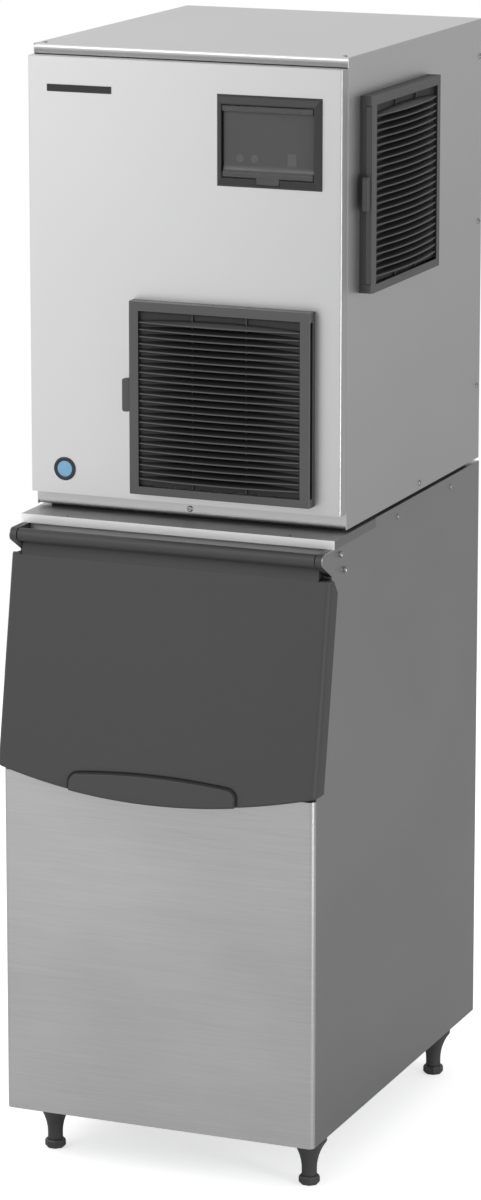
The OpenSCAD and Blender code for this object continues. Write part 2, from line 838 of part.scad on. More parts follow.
// Rear panel with the air outlet's slots and the holes of the rear fittings
module head_rear_panel() {
    wide = head_w - 2 * skin_t;
    color("silver") at_head() difference() {
        translate([-wide / 2, head_d - skin_t, 0]) cube([wide, skin_t, head_h - skin_t]);
        for (k = [0:vent_n - 1]) translate([comp_x, 0, vent_z + vent_pitch * (k - (vent_n - 1) / 2)])
            into(head_d - 2 * skin_t, head_d + over) rounded(vent_w, vent_h, vent_h / 2 - 0.01);
        translate([inlet_x, 0, inlet_z]) round_y(inlet_r + hole_clear, head_d - 2 * skin_t, head_d + over);
        translate([drain_x, 0, drain_z]) round_y(inlet_r + hole_clear, head_d - 2 * skin_t, head_d + over);
        translate([gland_x, 0, gland_z]) round_y(gland_r + hole_clear, head_d - 2 * skin_t, head_d + over);
    }
}

// Top cover with a rolled front lip
module head_top_cover() {
    lip_r = 6;
    wide = head_w - 2 * skin_t;
    color("lightgray") at_head() difference() {
        across(wide) union() {
            translate([lip_r, head_h - skin_t]) square([head_d - lip_r, skin_t]);
            translate([0, head_h - top_lip_h]) square([skin_t, top_lip_h - lip_r]);
            difference() {
                translate([lip_r, head_h - lip_r]) circle(lip_r);
                translate([lip_r, head_h - lip_r]) circle(lip_r - skin_t);
                translate([lip_r, head_h - 3 * lip_r]) square([2 * lip_r, 4 * lip_r]);
                translate([-over, head_h - 3 * lip_r]) square([lip_r + 2 * over, 2 * lip_r]);
            }
        }
        for (side = [-1, 1])
            translate([side * (head_half - top_screw_in), top_screw_in + 4, head_h - 2 * skin_t])
                cylinder(h = 3 * skin_t, r = screw_shank_r + hole_clear);
    }
}

module head_screws() {
    color("lightgray") at_head() {
        for (side = [-1, 1], p = head_side_screws)
            translate([side * head_half, p[0], p[1]]) rotate([0, side * 90, 0]) screw_head();
        for (side = [-1, 1]) translate([side * (head_half - top_screw_in), top_screw_in + 4, head_h])
            screw_head();
        translate([0, 0, lip_screw_z]) rotate([90, 0, 0]) screw_head();
    }
}

// One bowed slat: an arc in plan, sloping down towards the outside
module slat() {
    half = louvre_w / 2 + inner_wall / 2;
    bow_r = (half * half + slat_bow * slat_bow) / (2 * slat_bow);
    turn = asin(half / bow_r);
    intersection() {
        translate([0, bow_r - slat_bow, 0]) rotate([0, 0, -90 - turn])
            rotate_extrude(angle = 2 * turn, $fn = 720) polygon([
                [bow_r, 0], [bow_r, slat_edge], [bow_r - slat_len, slat_fall + slat_edge],
                [bow_r - slat_len, slat_fall]
            ]);
        translate([-grille_w / 2, -slat_bow - over, -over])
            cube([grille_w, slat_bow + over + slat_d, slat_fall + slat_edge + 2 * over]);
    }
}

// Louvre grille: a proud box with a slot in each side wall, bowed slats and two ribs behind them
module grille() {
    edge_r = 4;
    rib_t = 2;
    difference() {
        translate([0, 0, -grille_h / 2]) linear_extrude(grille_h)
            front_plan(grille_w / 2, -grille_proud, 0, edge_r);
        translate([0, 0, -grille_h / 2 + grille_t]) linear_extrude(grille_h - 2 * grille_t)
            front_plan(grille_w / 2 - grille_t, -grille_proud + grille_t, over, edge_r - grille_t);
        translate([0, 0, louvre_z]) into(-grille_proud - over, 0)
            square([louvre_w, louvre_h], center = true);
        translate([0, -grille_proud + (slot_low + slot_high) / 2, louvre_z])
            cube([2 * grille_w, slot_high - slot_low, slot_h], center = true);
    }
    for (side = [-1, 1])
        translate([side * (louvre_w + inner_wall) / 2, -grille_proud + (slat_set + slat_d) / 2, louvre_z])
            cube([inner_wall, slat_set + slat_d, louvre_h], center = true);
    for (k = [0:slat_n - 1])
        translate([0, -grille_proud + slat_set, slat_first + k * slat_pitch]) slat();
    for (side = [-1, 1])
        translate([side * louvre_w / 6, -grille_proud + slat_set + (rib_set + slat_d) / 2, louvre_z])
            cube([rib_t, slat_d - rib_set, louvre_h], center = true);
}

// Washable air filter: a frame with bars and a thin screen, drawn out by its tab
module filter() {
    long = grille_w - 2 * grille_t - 2 * filter_hold;
    tall = slot_h - 2 * slide_clear - 1;
    rim = 7;
    bar = 2;
    end_bar = 1.5;
    screen = 0.8;
    translate([0, -grille_proud + filter_set, louvre_z]) {
        difference() {
            into(0, filter_t) square([long, tall], center = true);
            for (i = [-1, 0, 1], k = [-1, 0, 1])
                translate([i * (long - 2 * rim) / 3, 0, k * (tall - 2 * rim) / 3])
                    into(screen, filter_t + over)
                        square([(long - 2 * rim) / 3 - bar, (tall - 2 * rim) / 3 - bar], center = true);
        }
        translate([-grille_w / 2 - 2, 0, tab_z - tab_half])
            cube([grille_t + 4, filter_t, 2 * tab_half]);
        translate([-grille_w / 2, slot_low + slide_clear - filter_set, -tall / 2])
            cube([grille_t + end_bar, slot_high - slot_low - 2 * slide_clear, tall]);
        translate([-grille_w / 2 - tab_w / 2 - over, 0, tab_z])
            into((filter_t - tab_t) / 2, (filter_t + tab_t) / 2) rounded(tab_w, 2 * tab_half, 4);
    }
}

module front_grille() { color("dimgray") at_front_grille() grille(); }
module front_filter() { color("black") at_front_grille() filter(); }
module side_grille() { color("dimgray") at_side_grille() grille(); }
module side_filter() { color("black") at_side_grille() filter(); }

// Solid through a row of centred rectangles from front to back, each [half width, half height, depth]
module stepped(rows) {
    last = 4 * (len(rows) - 1);
    polyhedron(
        points = [for (r = rows, c = [[-1, -1], [1, -1], [1, 1], [-1, 1]])
            [c[0] * r[0], r[2], c[1] * r[1]]],
        faces = concat(
            [[3, 2, 1, 0], [last, last + 1, last + 2, last + 3]],
            [for (k = [0:4:last - 4], i = [0:3])
                [k + i, k + (i + 1) % 4, k + 4 + (i + 1) % 4, k + 4 + i]]
        )
    );
}

// Bezel: a raised frame with bevelled sides, open round the flap, and a stepped well behind it
module control_bezel() {
    open_w = flap_w + 2 * flap_gap;
    open_h = flap_h + 2 * flap_gap;
    color("dimgray") at_bezel() difference() {
        union() {
            stepped([
                [open_w / 2 + bezel_rim, open_h / 2 + bezel_rim, -bezel_proud],
                [bezel_w / 2 - bevel_w, bezel_h / 2 - bevel_w, -bevel_h],
                [bezel_w / 2, bezel_h / 2, 0]
            ]);
            into(-over, bezel_depth) rounded(bezel_w - 2 * bezel_in, bezel_h - 2 * bezel_in, bezel_r);
        }
        translate([flap_dx, 0, flap_dz]) {
            into(-bezel_proud - over, shelf_y) square([open_w, open_h], center = true);
            into(-bezel_proud, plate_y + plate_t)
                square([flap_w - 2 * flap_shelf, flap_h - 2 * flap_shelf], center = true);
            into(-bezel_proud, bezel_depth + over) square(
                [flap_w - 2 * (flap_shelf + plate_shelf), flap_h - 2 * (flap_shelf + plate_shelf)],
                center = true
            );
            translate([0, 0, -flap_h / 2]) into(-bezel_proud - over, shelf_y)
                square([flap_tab_w + 2 * flap_gap, 2 * (flap_tab_h + flap_gap)], center = true);
            translate([0, flap_set + flap_t / 2, flap_h / 2 - flap_t / 2]) round_x(
                flap_pin_r + run_clear,
                -flap_w / 2 - flap_pin_len - flap_pin_gap, flap_w / 2 + flap_pin_len + flap_pin_gap
            );
        }
    }
}

module key_plate() {
    color("black") at_bezel() translate([flap_dx, 0, flap_dz]) difference() {
        into(plate_y, plate_y + plate_t) square(
            [flap_w - 2 * (flap_shelf + hole_clear), flap_h - 2 * (flap_shelf + hole_clear)], center = true
        );
        for (x = [left_key_x, right_key_x]) translate([x, 0, key_z])
            round_y(key_r + key_gap, plate_y - over, plate_y + plate_t + over);
        translate([power_key_x, 0, key_z]) into(plate_y - over, plate_y + plate_t + over)
            square([power_key_w + 2 * key_gap, power_key_h + 2 * key_gap], center = true);
        translate([window_x, 0, window_z]) into(plate_y - over, plate_y + plate_t + over)
            square([window_w, window_h], center = true);
    }
}

module display_window() {
    color("darkslategray") at_bezel() translate([flap_dx + window_x, 0, flap_dz + window_z])
        into(plate_y - 0.4, plate_y + plate_t) square([window_w, window_h], center = true);
}

// Flap seen from the side as [depth, height]: two lips with a set-back middle between them
module flap_outline() {
    top = flap_h / 2 - flap_t / 2;
    step = flap_h / 2 - flap_lip;
    low = -flap_h / 2 + flap_lip;
    fall = 2;
    polygon(concat(
        [[0, top], [0, step], [flap_back, step - fall]],
        [for (a = [0:15:90]) [flap_back * cos(a), low + flap_sweep * (1 - sin(a))]],
        [
            [0, -flap_h / 2], [flap_t, -flap_h / 2], [flap_t, low - flap_t],
            [flap_back + flap_t, low + flap_sweep - flap_t], [flap_back + flap_t, step],
            [flap_t, step + fall], [flap_t, top]
        ]
    ));
}

// Flap over the keys, hinged along its top edge, with a finger tab at the bottom
module control_flap() {
    color("darkgray") at_bezel() translate([flap_dx, flap_set, flap_dz]) {
        across(flap_w) flap_outline();
        translate([0, flap_t / 2, flap_h / 2 - flap_t / 2]) {
            round_x(flap_t / 2, -flap_w / 2, flap_w / 2);
            round_x(flap_pin_r, -flap_w / 2 - flap_pin_len, flap_w / 2 + flap_pin_len);
        }
        translate([0, 0, -flap_h / 2]) into(0, flap_t) rounded(flap_tab_w, 2 * flap_tab_h, 3);
    }
}

module round_key(x) {
    color("gray") at_bezel() translate([flap_dx + x, 0, flap_dz + key_z]) {
        round_y(key_r, plate_y - key_proud, plate_y + plate_t + key_gap);
        round_y(key_r + key_lip, plate_y + plate_t + key_gap, plate_y + plate_t + key_gap + key_lip_t);
    }
}

module left_key() { round_key(left_key_x); }
module right_key() { round_key(right_key_x); }

module power_key() {
    color("gray") at_bezel() translate([flap_dx + power_key_x, 0, flap_dz + key_z]) {
        into(plate_y - key_proud, plate_y + plate_t + key_gap) rounded(power_key_w, power_key_h, 1.5);
        into(plate_y + plate_t + key_gap, plate_y + plate_t + key_gap + key_lip_t)
            square([power_key_w + 2 * key_lip, power_key_h + 2 * key_lip], center = true);
    }
}

// Open-fronted box behind the bezel, with the controller board on its back wall
module control_box() {
    board_in = 12;
    board_t = 8;
    wall = 1.2;
    wide = bezel_w - 2 * bezel_in;
    tall = bezel_h - 2 * bezel_in;
    color("silver") at_bezel() {
        difference() {
            into(bezel_depth, bezel_depth + box_depth) square([wide, tall], center = true);
            into(bezel_depth - over, bezel_depth + box_depth - wall)
                square([wide - 2 * wall, tall - 2 * wall], center = true);
        }
        into(bezel_depth + box_depth - wall - board_t, bezel_depth + box_depth - wall)
            square([wide - 2 * board_in, tall - 2 * board_in], center = true);
    }
}

// Gear case with its motor lying behind it
module gear_motor() {
    color("dimgray") at_head() translate([evap_x, evap_y, floor_t]) difference() {
        union() {
            linear_extrude(gear_h) rounded(gear_w, gear_w, 20);
            translate([0, 0, gear_h / 2]) round_y(motor_r, gear_w / 2, gear_w / 2 + motor_len);
        }
        translate([0, 0, gear_h - 30]) cylinder(h = 30 + over, r = shaft_r + run_clear);
    }
}

// Refrigerated cylinder on a foot flange
module evaporator() {
    flange_r = evap_r + evap_t + 14;
    flange_t = 10;
    color("silver") at_head() translate([evap_x, evap_y, gear_top]) difference() {
        union() {
            cylinder(h = evap_h, r = evap_r + evap_t);
            cylinder(h = flange_t, r = flange_r);
        }
        translate([0, 0, -over]) cylinder(h = evap_h + 2 * over, r = evap_r);
    }
}

module evaporator_foam() {
    foam_low = 12;
    color("black") at_head() translate([evap_x, evap_y, gear_top + foam_low]) difference() {
        cylinder(h = evap_h - 2 * foam_low, r = evap_r + evap_t + evap_foam_t);
        translate([0, 0, -over]) cylinder(h = evap_h, r = evap_r + evap_t + hole_clear);
    }
}

// Auger: a core with a helical flight, a journal in the gear case and one in the extruding head
module auger() {
    flight_gap = 0.6;
    flight_t = 7;
    core_r = evap_r * 0.6;
    journal = 28;
    end_gap = 4;
    color("silver") at_head() translate([evap_x, evap_y, gear_top]) {
        translate([0, 0, end_gap]) cylinder(h = evap_h - 2 * end_gap, r = core_r);
        flight(core_r - 2, evap_r - flight_gap, flight_t, 2 * end_gap, evap_h - 2 * end_gap);
        translate([0, 0, -journal]) cylinder(h = journal + end_gap, r = shaft_r);
        translate([0, 0, evap_h - end_gap]) cylinder(h = end_gap + extrude_h + cutter_h, r = shaft_r);
    }
}

// Helical flight between two heights, as rings of four points joined into a solid
module flight(r0, r1, thick, z0, z1) {
    steps = 22 * auger_turns;
    turn = 360 * auger_turns / steps;
    rise = (z1 - z0 - thick) / steps;
    points = [for (k = [0:steps], p = [[r0, 0], [r1, 0], [r1, thick], [r0, thick]])
        [p[0] * cos(k * turn), p[0] * sin(k * turn), z0 + k * rise + p[1]]];
    sides = [for (k = [0:steps - 1], i = [0:3])
        [4 * k + i, 4 * k + (i + 1) % 4, 4 * k + 4 + (i + 1) % 4, 4 * k + 4 + i]];
    ends = [[3, 2, 1, 0], [4 * steps, 4 * steps + 1, 4 * steps + 2, 4 * steps + 3]];
    polyhedron(points = points, faces = concat(
        [for (q = sides, t = split(q)) t], [for (q = ends, t = split(q)) t]
    ));
}

// Head that presses the ice together through a ring of ports
module extruding_head() {
    ports = 8;
    port_r = 8;
    color("silver") at_head() translate([evap_x, evap_y, evap_top]) difference() {
        cylinder(h = extrude_h, r = extrude_r);
        translate([0, 0, -over]) cylinder(h = extrude_h + 2 * over, r = shaft_r + run_clear);
        for (k = [0:ports - 1]) rotate([0, 0, 360 * k / ports])
            translate([(shaft_r + evap_r) / 2 + 2, 0, -over])
                cylinder(h = extrude_h + 2 * over, r = port_r);
    }
}

module cutter() {
    blades = 4;
    lift = 1;
    hub_r = shaft_r + 8;
    color("silver") at_head() translate([evap_x, evap_y, evap_top + extrude_h + lift]) difference() {
        union() {
            cylinder(h = cutter_h - 2 * lift, r = hub_r);
            for (k = [0:blades - 1]) rotate([0, 0, 360 * k / blades])
                translate([0, -3, 0]) cube([cutter_r, 6, cutter_h / 2]);
        }
        translate([0, 0, -over]) cylinder(h = cutter_h + over, r = shaft_r + 0.02);
    }
}

// Cap over the cutter and chute that drops the ice through the base
module ice_spout() {
    cap_low = evap_top + extrude_h - cap_skirt;
    cap_top = evap_top + extrude_h + cap_h;
    ice_level = evap_top + extrude_h + hole_clear;
    inner = spout_w - 2 * spout_t;
    color("white") at_head() difference() {
        union() {
            translate([evap_x, evap_y, cap_low]) cylinder(h = cap_top - cap_low, r = cap_r);
            translate([evap_x - spout_w / 2, spout_y, cap_low])
                cube([spout_w, evap_y - spout_y, cap_top - cap_low]);
            translate([evap_x - spout_w / 2, spout_y - spout_w / 2, -spout_drop])
                cube([spout_w, spout_w, cap_top + spout_drop]);
        }
        translate([evap_x, evap_y, cap_low - over])
            cylinder(h = cap_top - cap_low + over - spout_t, r = extrude_r + hole_clear);
        translate([evap_x - inner / 2, spout_y - inner / 2, -spout_drop - over])
            cube([inner, inner, cap_top + spout_drop + over - spout_t]);
        translate([evap_x - inner / 2, spout_y, ice_level])
            cube([inner, evap_y - spout_y, cap_top - spout_t - ice_level]);
    }
}

// Water reservoir on the rear panel, with the stem that guides its float
module water_reservoir() {
    color("white") at_head()
        translate([tank_x, head_d - skin_t - tank_d / 2, tank_z]) {
            difference() {
                linear_extrude(tank_h) square([tank_w, tank_d], center = true);
                translate([0, 0, tank_t]) linear_extrude(tank_h)
                    square([tank_w - 2 * tank_t, tank_d - 2 * tank_t], center = true);
            }
            translate([0, -tank_d / 5, 0]) {
                cylinder(h = float_seat, r = float_stem_r + 4);
                cylinder(h = tank_h - 10, r = float_stem_r);
            }
        }
}

module float() {
    color("orange") at_head()
        translate([tank_x, head_d - skin_t - tank_d / 2 - tank_d / 5, tank_z + float_seat]) difference() {
            translate([0, 0, 0.3]) cylinder(h = float_h, r = float_r);
            translate([0, 0, -over]) cylinder(h = float_h + 3 * over, r = float_stem_r + run_clear);
        }
}

// Compressor: a welded shell with domed ends on a foot plate and four rubber mounts
module compressor() {
    dome = 45;
    color("black") at_head() translate([comp_x, comp_y, floor_t]) {
        translate([0, 0, grommet_h + comp_foot_t]) rotate_extrude() {
            square([comp_r, comp_h - dome]);
            translate([0, comp_h - dome]) intersection() {
                scale_dome(comp_r, dome);
                square([comp_r, dome]);
            }
        }
        translate([0, 0, grommet_h]) linear_extrude(comp_foot_t) rounded(comp_foot, comp_foot, 12);
        for (x = [-1, 1], y = [-1, 1])
            translate([x * (comp_foot / 2 - 18), y * (comp_foot / 2 - 18), 0])
                cylinder(h = grommet_h, r = grommet_r);
    }
}

// Low dome as an arc through the shell's edge
module scale_dome(r, h) {
    arc_r = (r * r + h * h) / (2 * h);
    translate([0, h - arc_r]) circle(arc_r, $fn = 180);
}

// Condenser: fins on tubes between two end plates that stand on the base
module condenser() {
    low = front_grille_z - cond_h / 2;
    color("goldenrod") at_head() translate([front_grille_x, cond_y, 0]) {
        for (side = [-1, 1])
            translate([side * (cond_w - cond_plate) / 2, cond_d / 2, (low + cond_h + floor_t) / 2])
                cube([cond_plate, cond_d, low + cond_h - floor_t], center = true);
        for (k = [1:cond_fins])
            translate([-cond_w / 2 + k * cond_w / (cond_fins + 1), cond_d / 2, low + cond_h / 2])
                cube([cond_plate / 2, cond_d, cond_h], center = true);
        for (k = [0:cond_tubes - 1]) translate([0, cond_d / 2, low + cond_h * (k + 0.5) / cond_tubes])
            round_x(cond_tube_r, -cond_w / 2 - 6, cond_w / 2 + 6);
    }
}

module fan_shroud() {
    ring_r = fan_r + ring_gap;
    color("dimgray") at_head() translate([front_grille_x, cond_y + cond_d, front_grille_z]) difference() {
        union() {
            into(0, shroud_t) square([cond_w, cond_h], center = true);
            round_y(ring_r + shroud_t, 0, ring_len);
        }
        round_y(ring_r, -over, ring_len + over);
    }
}

// Fan motor on two arms across the shroud's ring
module fan_motor() {
    arm_y = cond_y + cond_d + ring_len;
    color("gray") at_head() translate([front_grille_x, 0, front_grille_z]) {
        for (turn = [45, -45]) rotate([0, turn, 0]) translate([0, arm_y + arm_t / 2, 0])
            cube([2 * (fan_r + ring_gap + shroud_t), arm_t, arm_w], center = true);
        round_y(fan_motor_r, arm_y, arm_y + fan_motor_len);
        round_y(fan_shaft_r, fan_y, arm_y);
    }
}

// Five-bladed fan; each blade is a pitched plate with a rounded outline
module fan_blade() {
    pitch = 28;
    blade_w = 70;
    root = fan_hub_r - 4;
    color("black") at_head() translate([front_grille_x, fan_y, front_grille_z]) difference() {
        union() {
            round_y(fan_hub_r, -2, fan_hub_len - 2);
            for (k = [0:fan_blades - 1]) rotate([0, 360 * k / fan_blades, 0])
                translate([root, fan_hub_len / 2 - 2, 0]) rotate([90 - pitch, 0, 0])
                    translate([(fan_r - root - 4) / 2, 0, 0]) linear_extrude(fan_blade_t, center = true)
                        rounded(fan_r - root - 4, blade_w * 0.45, 12);
        }
        round_y(fan_shaft_r + run_clear, 0, fan_hub_len + over);
    }
}

// Inlet nipple through the rear panel, with a spout over the reservoir
module water_inlet() {
    reach_in = 34;
    tube_r = 6;
    tube_len = 38;
    color("goldenrod") at_head() translate([inlet_x, 0, inlet_z]) {
        round_y(inlet_r, head_d - reach_in, head_d + rear_reach);
        round_y(inlet_r + nut_rim, head_d - skin_t - nut_t, head_d - skin_t);
        round_y(inlet_r + nut_rim, head_d, head_d + nut_t);
        translate([0, head_d - reach_in + 8, -tube_len]) cylinder(h = tube_len, r = tube_r);
    }
}

module drain_outlet() {
    reach_in = 20;
    wall = 2.5;
    color("white") at_head() translate([drain_x, 0, drain_z]) difference() {
        union() {
            round_y(inlet_r, head_d - reach_in, head_d + rear_reach);
            round_y(inlet_r + nut_rim, head_d - skin_t - nut_t, head_d - skin_t);
            round_y(inlet_r + nut_rim, head_d, head_d + nut_t);
        }
        round_y(inlet_r - wall, head_d - reach_in - over, head_d + rear_reach + over);
    }
}

module cord_gland() {
    reach_in = 14;
    reach_out = 12;
    wall = 5;
    color("black") at_head() translate([gland_x, 0, gland_z]) difference() {
        union() {
            round_y(gland_r, head_d - reach_in, head_d + reach_out);
            round_y(gland_r + nut_rim, head_d, head_d + nut_t);
            round_y(gland_r + nut_rim, head_d - skin_t - nut_t, head_d - skin_t);
        }
        round_y(gland_r - wall, head_d - reach_in - over, head_d + reach_out + over);
    }
}

bin_front_panel();
bin_left_panel();
bin_right_panel();
bin_rear_panel();
bin_base();
bin_insulation();
bin_liner();
bin_throat();
bin_header();
bin_top_trim();
bin_deck();
bin_gasket();
bin_door();
hinge_blocks();
bin_drain();
bin_screws();
leg_front_left();
leg_front_right();
leg_rear_left();
leg_rear_right();
foot_front_left();
foot_front_right();
foot_rear_left();
foot_rear_right();
head_base();
head_front_panel();
head_right_panel();
head_left_panel();
head_rear_panel();
head_top_cover();
head_screws();
front_grille();
front_filter();
side_grille();
side_filter();
control_bezel();
key_plate();
display_window();
control_flap();
left_key();
right_key();
power_key();
control_box();
gear_motor();
evaporator();
evaporator_foam();
auger();
cutter();
extruding_head();
ice_spout();
water_reservoir();
float();
compressor();
condenser();
fan_shroud();
fan_motor();
fan_blade();
water_inlet();
drain_outlet();
cord_gland();
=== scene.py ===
"""Looks of the flake ice machine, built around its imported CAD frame.

The frame is the CAD's row frame: the front faces -Y, +X is right and the floor is Z = 0.
Shapes are written in millimetres, the materials' grain and the studio in metres.
"""

import math

import bmesh
import bpy
import numpy as np
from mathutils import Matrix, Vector


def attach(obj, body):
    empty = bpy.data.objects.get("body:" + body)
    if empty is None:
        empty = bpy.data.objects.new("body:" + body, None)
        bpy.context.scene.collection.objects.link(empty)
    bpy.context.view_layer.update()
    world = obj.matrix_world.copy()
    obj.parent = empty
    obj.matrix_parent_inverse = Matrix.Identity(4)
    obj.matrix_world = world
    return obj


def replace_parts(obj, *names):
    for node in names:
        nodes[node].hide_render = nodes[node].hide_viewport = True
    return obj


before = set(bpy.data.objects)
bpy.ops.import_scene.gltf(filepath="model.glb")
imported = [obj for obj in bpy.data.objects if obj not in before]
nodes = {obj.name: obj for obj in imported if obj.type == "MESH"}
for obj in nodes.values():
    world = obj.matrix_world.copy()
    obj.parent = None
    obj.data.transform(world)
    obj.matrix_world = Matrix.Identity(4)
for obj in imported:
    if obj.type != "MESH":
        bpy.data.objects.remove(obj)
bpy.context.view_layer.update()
scene = bpy.context.scene
scene.view_settings.view_transform = "Standard"

MM = 0.001
MICRON = 0.000001
# Frames of the bin and of the ice maker in the row frame, in millimetres
BIN = np.array([-12.0, -389.568, 98.0])
HEAD = np.array([-12.0, -244.568, 1125.0])


# Node trees

# Kinds of the Mix node, each with its sockets for the first, the second and the result
VALUES = ("FLOAT", 2, 3, 0)
COLOURS = ("RGBA", 6, 7, 2)
# Nearly all of a noise lies between these values
NOISE_LOW = 0.3
NOISE_HIGH = 0.7


def shade(colour, factor):
    """A colour made darker or lighter by a factor."""
    return (colour[0] * factor, colour[1] * factor, colour[2] * factor, 1.0)


class Tree:
    """A node tree with short calls to add, join and compute."""

    def __init__(self, tree):
        self.tree = tree
        tree.nodes.clear()

    def add(self, kind, inputs=None, **settings):
        node = self.tree.nodes.new(kind)
        for name, value in settings.items():
            setattr(node, name, value)
        for name, value in (inputs or {}).items():
            node.inputs[name].default_value = value
        return node

    def join(self, source, target):
        self.tree.links.new(source, target)

    def feed(self, value, target):
        """Join a socket to the target, or set the target to a plain value."""
        if isinstance(value, bpy.types.NodeSocket):
            self.join(value, target)
        else:
            target.default_value = value

    def mix(self, kind, share, first, second, **settings):
        """first and second mixed, with the given share of the second."""
        data_type, first_at, second_at, result_at = kind
        node = self.add("ShaderNodeMix", data_type=data_type, **settings)
        for value, at in ((share, 0), (first, first_at), (second, second_at)):
            self.feed(value, node.inputs[at])
        return node.outputs[result_at]

    def maths(self, operation, first, second=None):
        node = self.add("ShaderNodeMath", operation=operation)
        self.feed(first, node.inputs[0])
        if second is not None:
            self.feed(second, node.inputs[1])
        return node.outputs[0]

    def axes(self, vector):
        """The sockets of a vector's X, Y and Z."""
        node = self.add("ShaderNodeSeparateXYZ")
        self.join(vector, node.inputs[0])
        return node.outputs

    def spread(self, value, low, high, from_low=NOISE_LOW, from_high=NOISE_HIGH):
        """A value between from_low and from_high drawn out to run from low to high."""
        node = self.add(
            "ShaderNodeMapRange",
            {"From Min": from_low, "From Max": from_high, "To Min": low, "To Max": high},
        )
        self.join(value, node.inputs["Value"])
        return node.outputs["Result"]


class Look(Tree):
    """A material with one Principled shader, over the object's own coordinates."""

    def __init__(self, name, sockets=None):
        self.material = bpy.data.materials.new(name)
        self.material.use_nodes = True
        super().__init__(self.material.node_tree)
        self.shader = self.add("ShaderNodeBsdfPrincipled", sockets)
        out = self.add("ShaderNodeOutputMaterial")
        self.join(self.shader.outputs["BSDF"], out.inputs["Surface"])
        self.coords = self.add("ShaderNodeTexCoord").outputs["Object"]

    def noise(self, scale, detail=3.0, rough=0.55):
        """Noise stretched by scale along each axis, in cells a metre."""
        mapping = self.add("ShaderNodeMapping", {"Scale": scale})
        noise = self.add(
            "ShaderNodeTexNoise", {"Scale": 1.0, "Detail": detail, "Roughness": rough}
        )
        self.join(self.coords, mapping.inputs["Vector"])
        self.join(mapping.outputs["Vector"], noise.inputs["Vector"])
        return noise.outputs["Fac"]

    def lines(self, scale):
        """Fine noise for brushed lines."""
        return self.noise(scale, 5.0, 0.7)

    def grain(self, cell):
        """Fine noise for moulded grain."""
        return self.noise((cell,) * 3, 2.0, 0.6)

    def cells(self, cell):
        """Cells: a tone for each one, and the distance from its middle."""
        cells = self.add("ShaderNodeTexVoronoi", {"Scale": cell})
        pick = self.add("ShaderNodeSeparateColor")
        self.join(self.coords, cells.inputs["Vector"])
        self.join(cells.outputs["Color"], pick.inputs["Color"])
        return pick.outputs[0], cells.outputs["Distance"]

    def tinted(self, value, colour, vary):
        """A colour that a noise makes darker and lighter by a share."""
        ramp = self.add("ShaderNodeValToRGB")
        dark, light = ramp.color_ramp.elements
        dark.position, dark.color = NOISE_LOW, shade(colour, 1 - vary)
        light.position, light.color = NOISE_HIGH, shade(colour, 1 + vary)
        self.join(value, ramp.inputs["Fac"])
        return ramp.outputs["Color"]

    def around(self, value, middle, by):
        """A noise drawn out to run from middle - by to middle + by."""
        return self.spread(value, middle - by, middle + by)

    def weighed(self, colour, weight):
        """A colour multiplied by a value."""
        return self.mix(COLOURS, 1.0, colour, weight, blend_type="MULTIPLY")

    def dressed(self, colour, rough, height, depth):
        """The material, once its colour, roughness and relief are joined."""
        bump = self.add("ShaderNodeBump", {"Strength": 1.0, "Distance": depth})
        self.join(height, bump.inputs["Height"])
        self.join(bump.outputs["Normal"], self.shader.inputs["Normal"])
        self.join(colour, self.shader.inputs["Base Color"])
        self.join(rough, self.shader.inputs["Roughness"])
        return self.material


# Kinds of material

METAL = {"Metallic": 1.0}
SHEET_CLOUD = (3.0, 3.0, 4.0)
SHEET_CLOUD_SHARE = 0.4
PLASTIC_CLOUD = (9.0,) * 3
CELL_CLOUD = (20.0,) * 3
# How far the roughness strays
SHEET_STRAY = 0.05
PLASTIC_STRAY = 0.06
CELL_STRAY = 0.08
# Painted shade: a hollow's tone falls to this factor as its share of open sky falls from OPEN to
# CLOSED
HOLLOW_TONE = 0.2
HOLLOW_OPEN = 0.92
HOLLOW_CLOSED = 0.62


def brushed(name, colour, rough, grain, depth, vary, painted_light_fade=None):
    """Brushed sheet steel: long fine lines in tone, gloss and relief, over a slow cloudiness.

    The fade paints light and shade into the tone: an axis, two places along it in millimetres and
    the tone's factor at each.
    """
    look = Look(name, METAL)
    lines = look.lines(grain)
    cloud = look.noise(SHEET_CLOUD, 2.0)
    sheet = look.tinted(look.mix(VALUES, SHEET_CLOUD_SHARE, lines, cloud), colour, vary)
    # Painted light and shade: the tone grows darker or lighter along one axis
    if painted_light_fade:
        axis, first, last, at_first, at_last = painted_light_fade
        along = look.axes(look.coords)[axis]
        factor = look.spread(along, at_first, at_last, first * MM, last * MM)
        sheet = look.weighed(sheet, factor)
    return look.dressed(sheet, look.around(lines, rough, SHEET_STRAY), lines, depth)


def moulded(
    name, colour, rough, cell=1400.0, depth=120 * MICRON, vary=0.07, sockets=None, painted_shade_reach=None
):
    """Moulded plastic with a fine spark-eroded grain and slightly uneven gloss.

    The reach in metres for hollows sets how far ambient occlusion looks when it paints shade into
    them.
    """
    look = Look(name, sockets)
    grain = look.grain(cell)
    tone = look.mix(VALUES, 0.5, grain, look.noise(PLASTIC_CLOUD))
    body = look.tinted(tone, colour, vary)
    if painted_shade_reach:
        # Painted shade: darker where ambient occlusion finds little open sky
        sky = look.add("ShaderNodeAmbientOcclusion", {"Distance": painted_shade_reach}, samples=8)
        factor = look.spread(sky.outputs["AO"], HOLLOW_TONE, 1.0, HOLLOW_CLOSED, HOLLOW_OPEN)
        body = look.weighed(body, factor)
    return look.dressed(body, look.around(tone, rough, PLASTIC_STRAY), grain, depth)


def cellular(name, colour, rough, cell, depth, vary=0.11, sockets=None):
    """Foam, rubber, castings and zinc crystals: cells that differ in tone and height."""
    look = Look(name, sockets)
    cells, height = look.cells(cell)
    tone = look.mix(VALUES, 0.5, cells, look.noise(CELL_CLOUD))
    body = look.tinted(tone, colour, vary)
    return look.dressed(body, look.around(tone, rough, CELL_STRAY), height, depth)


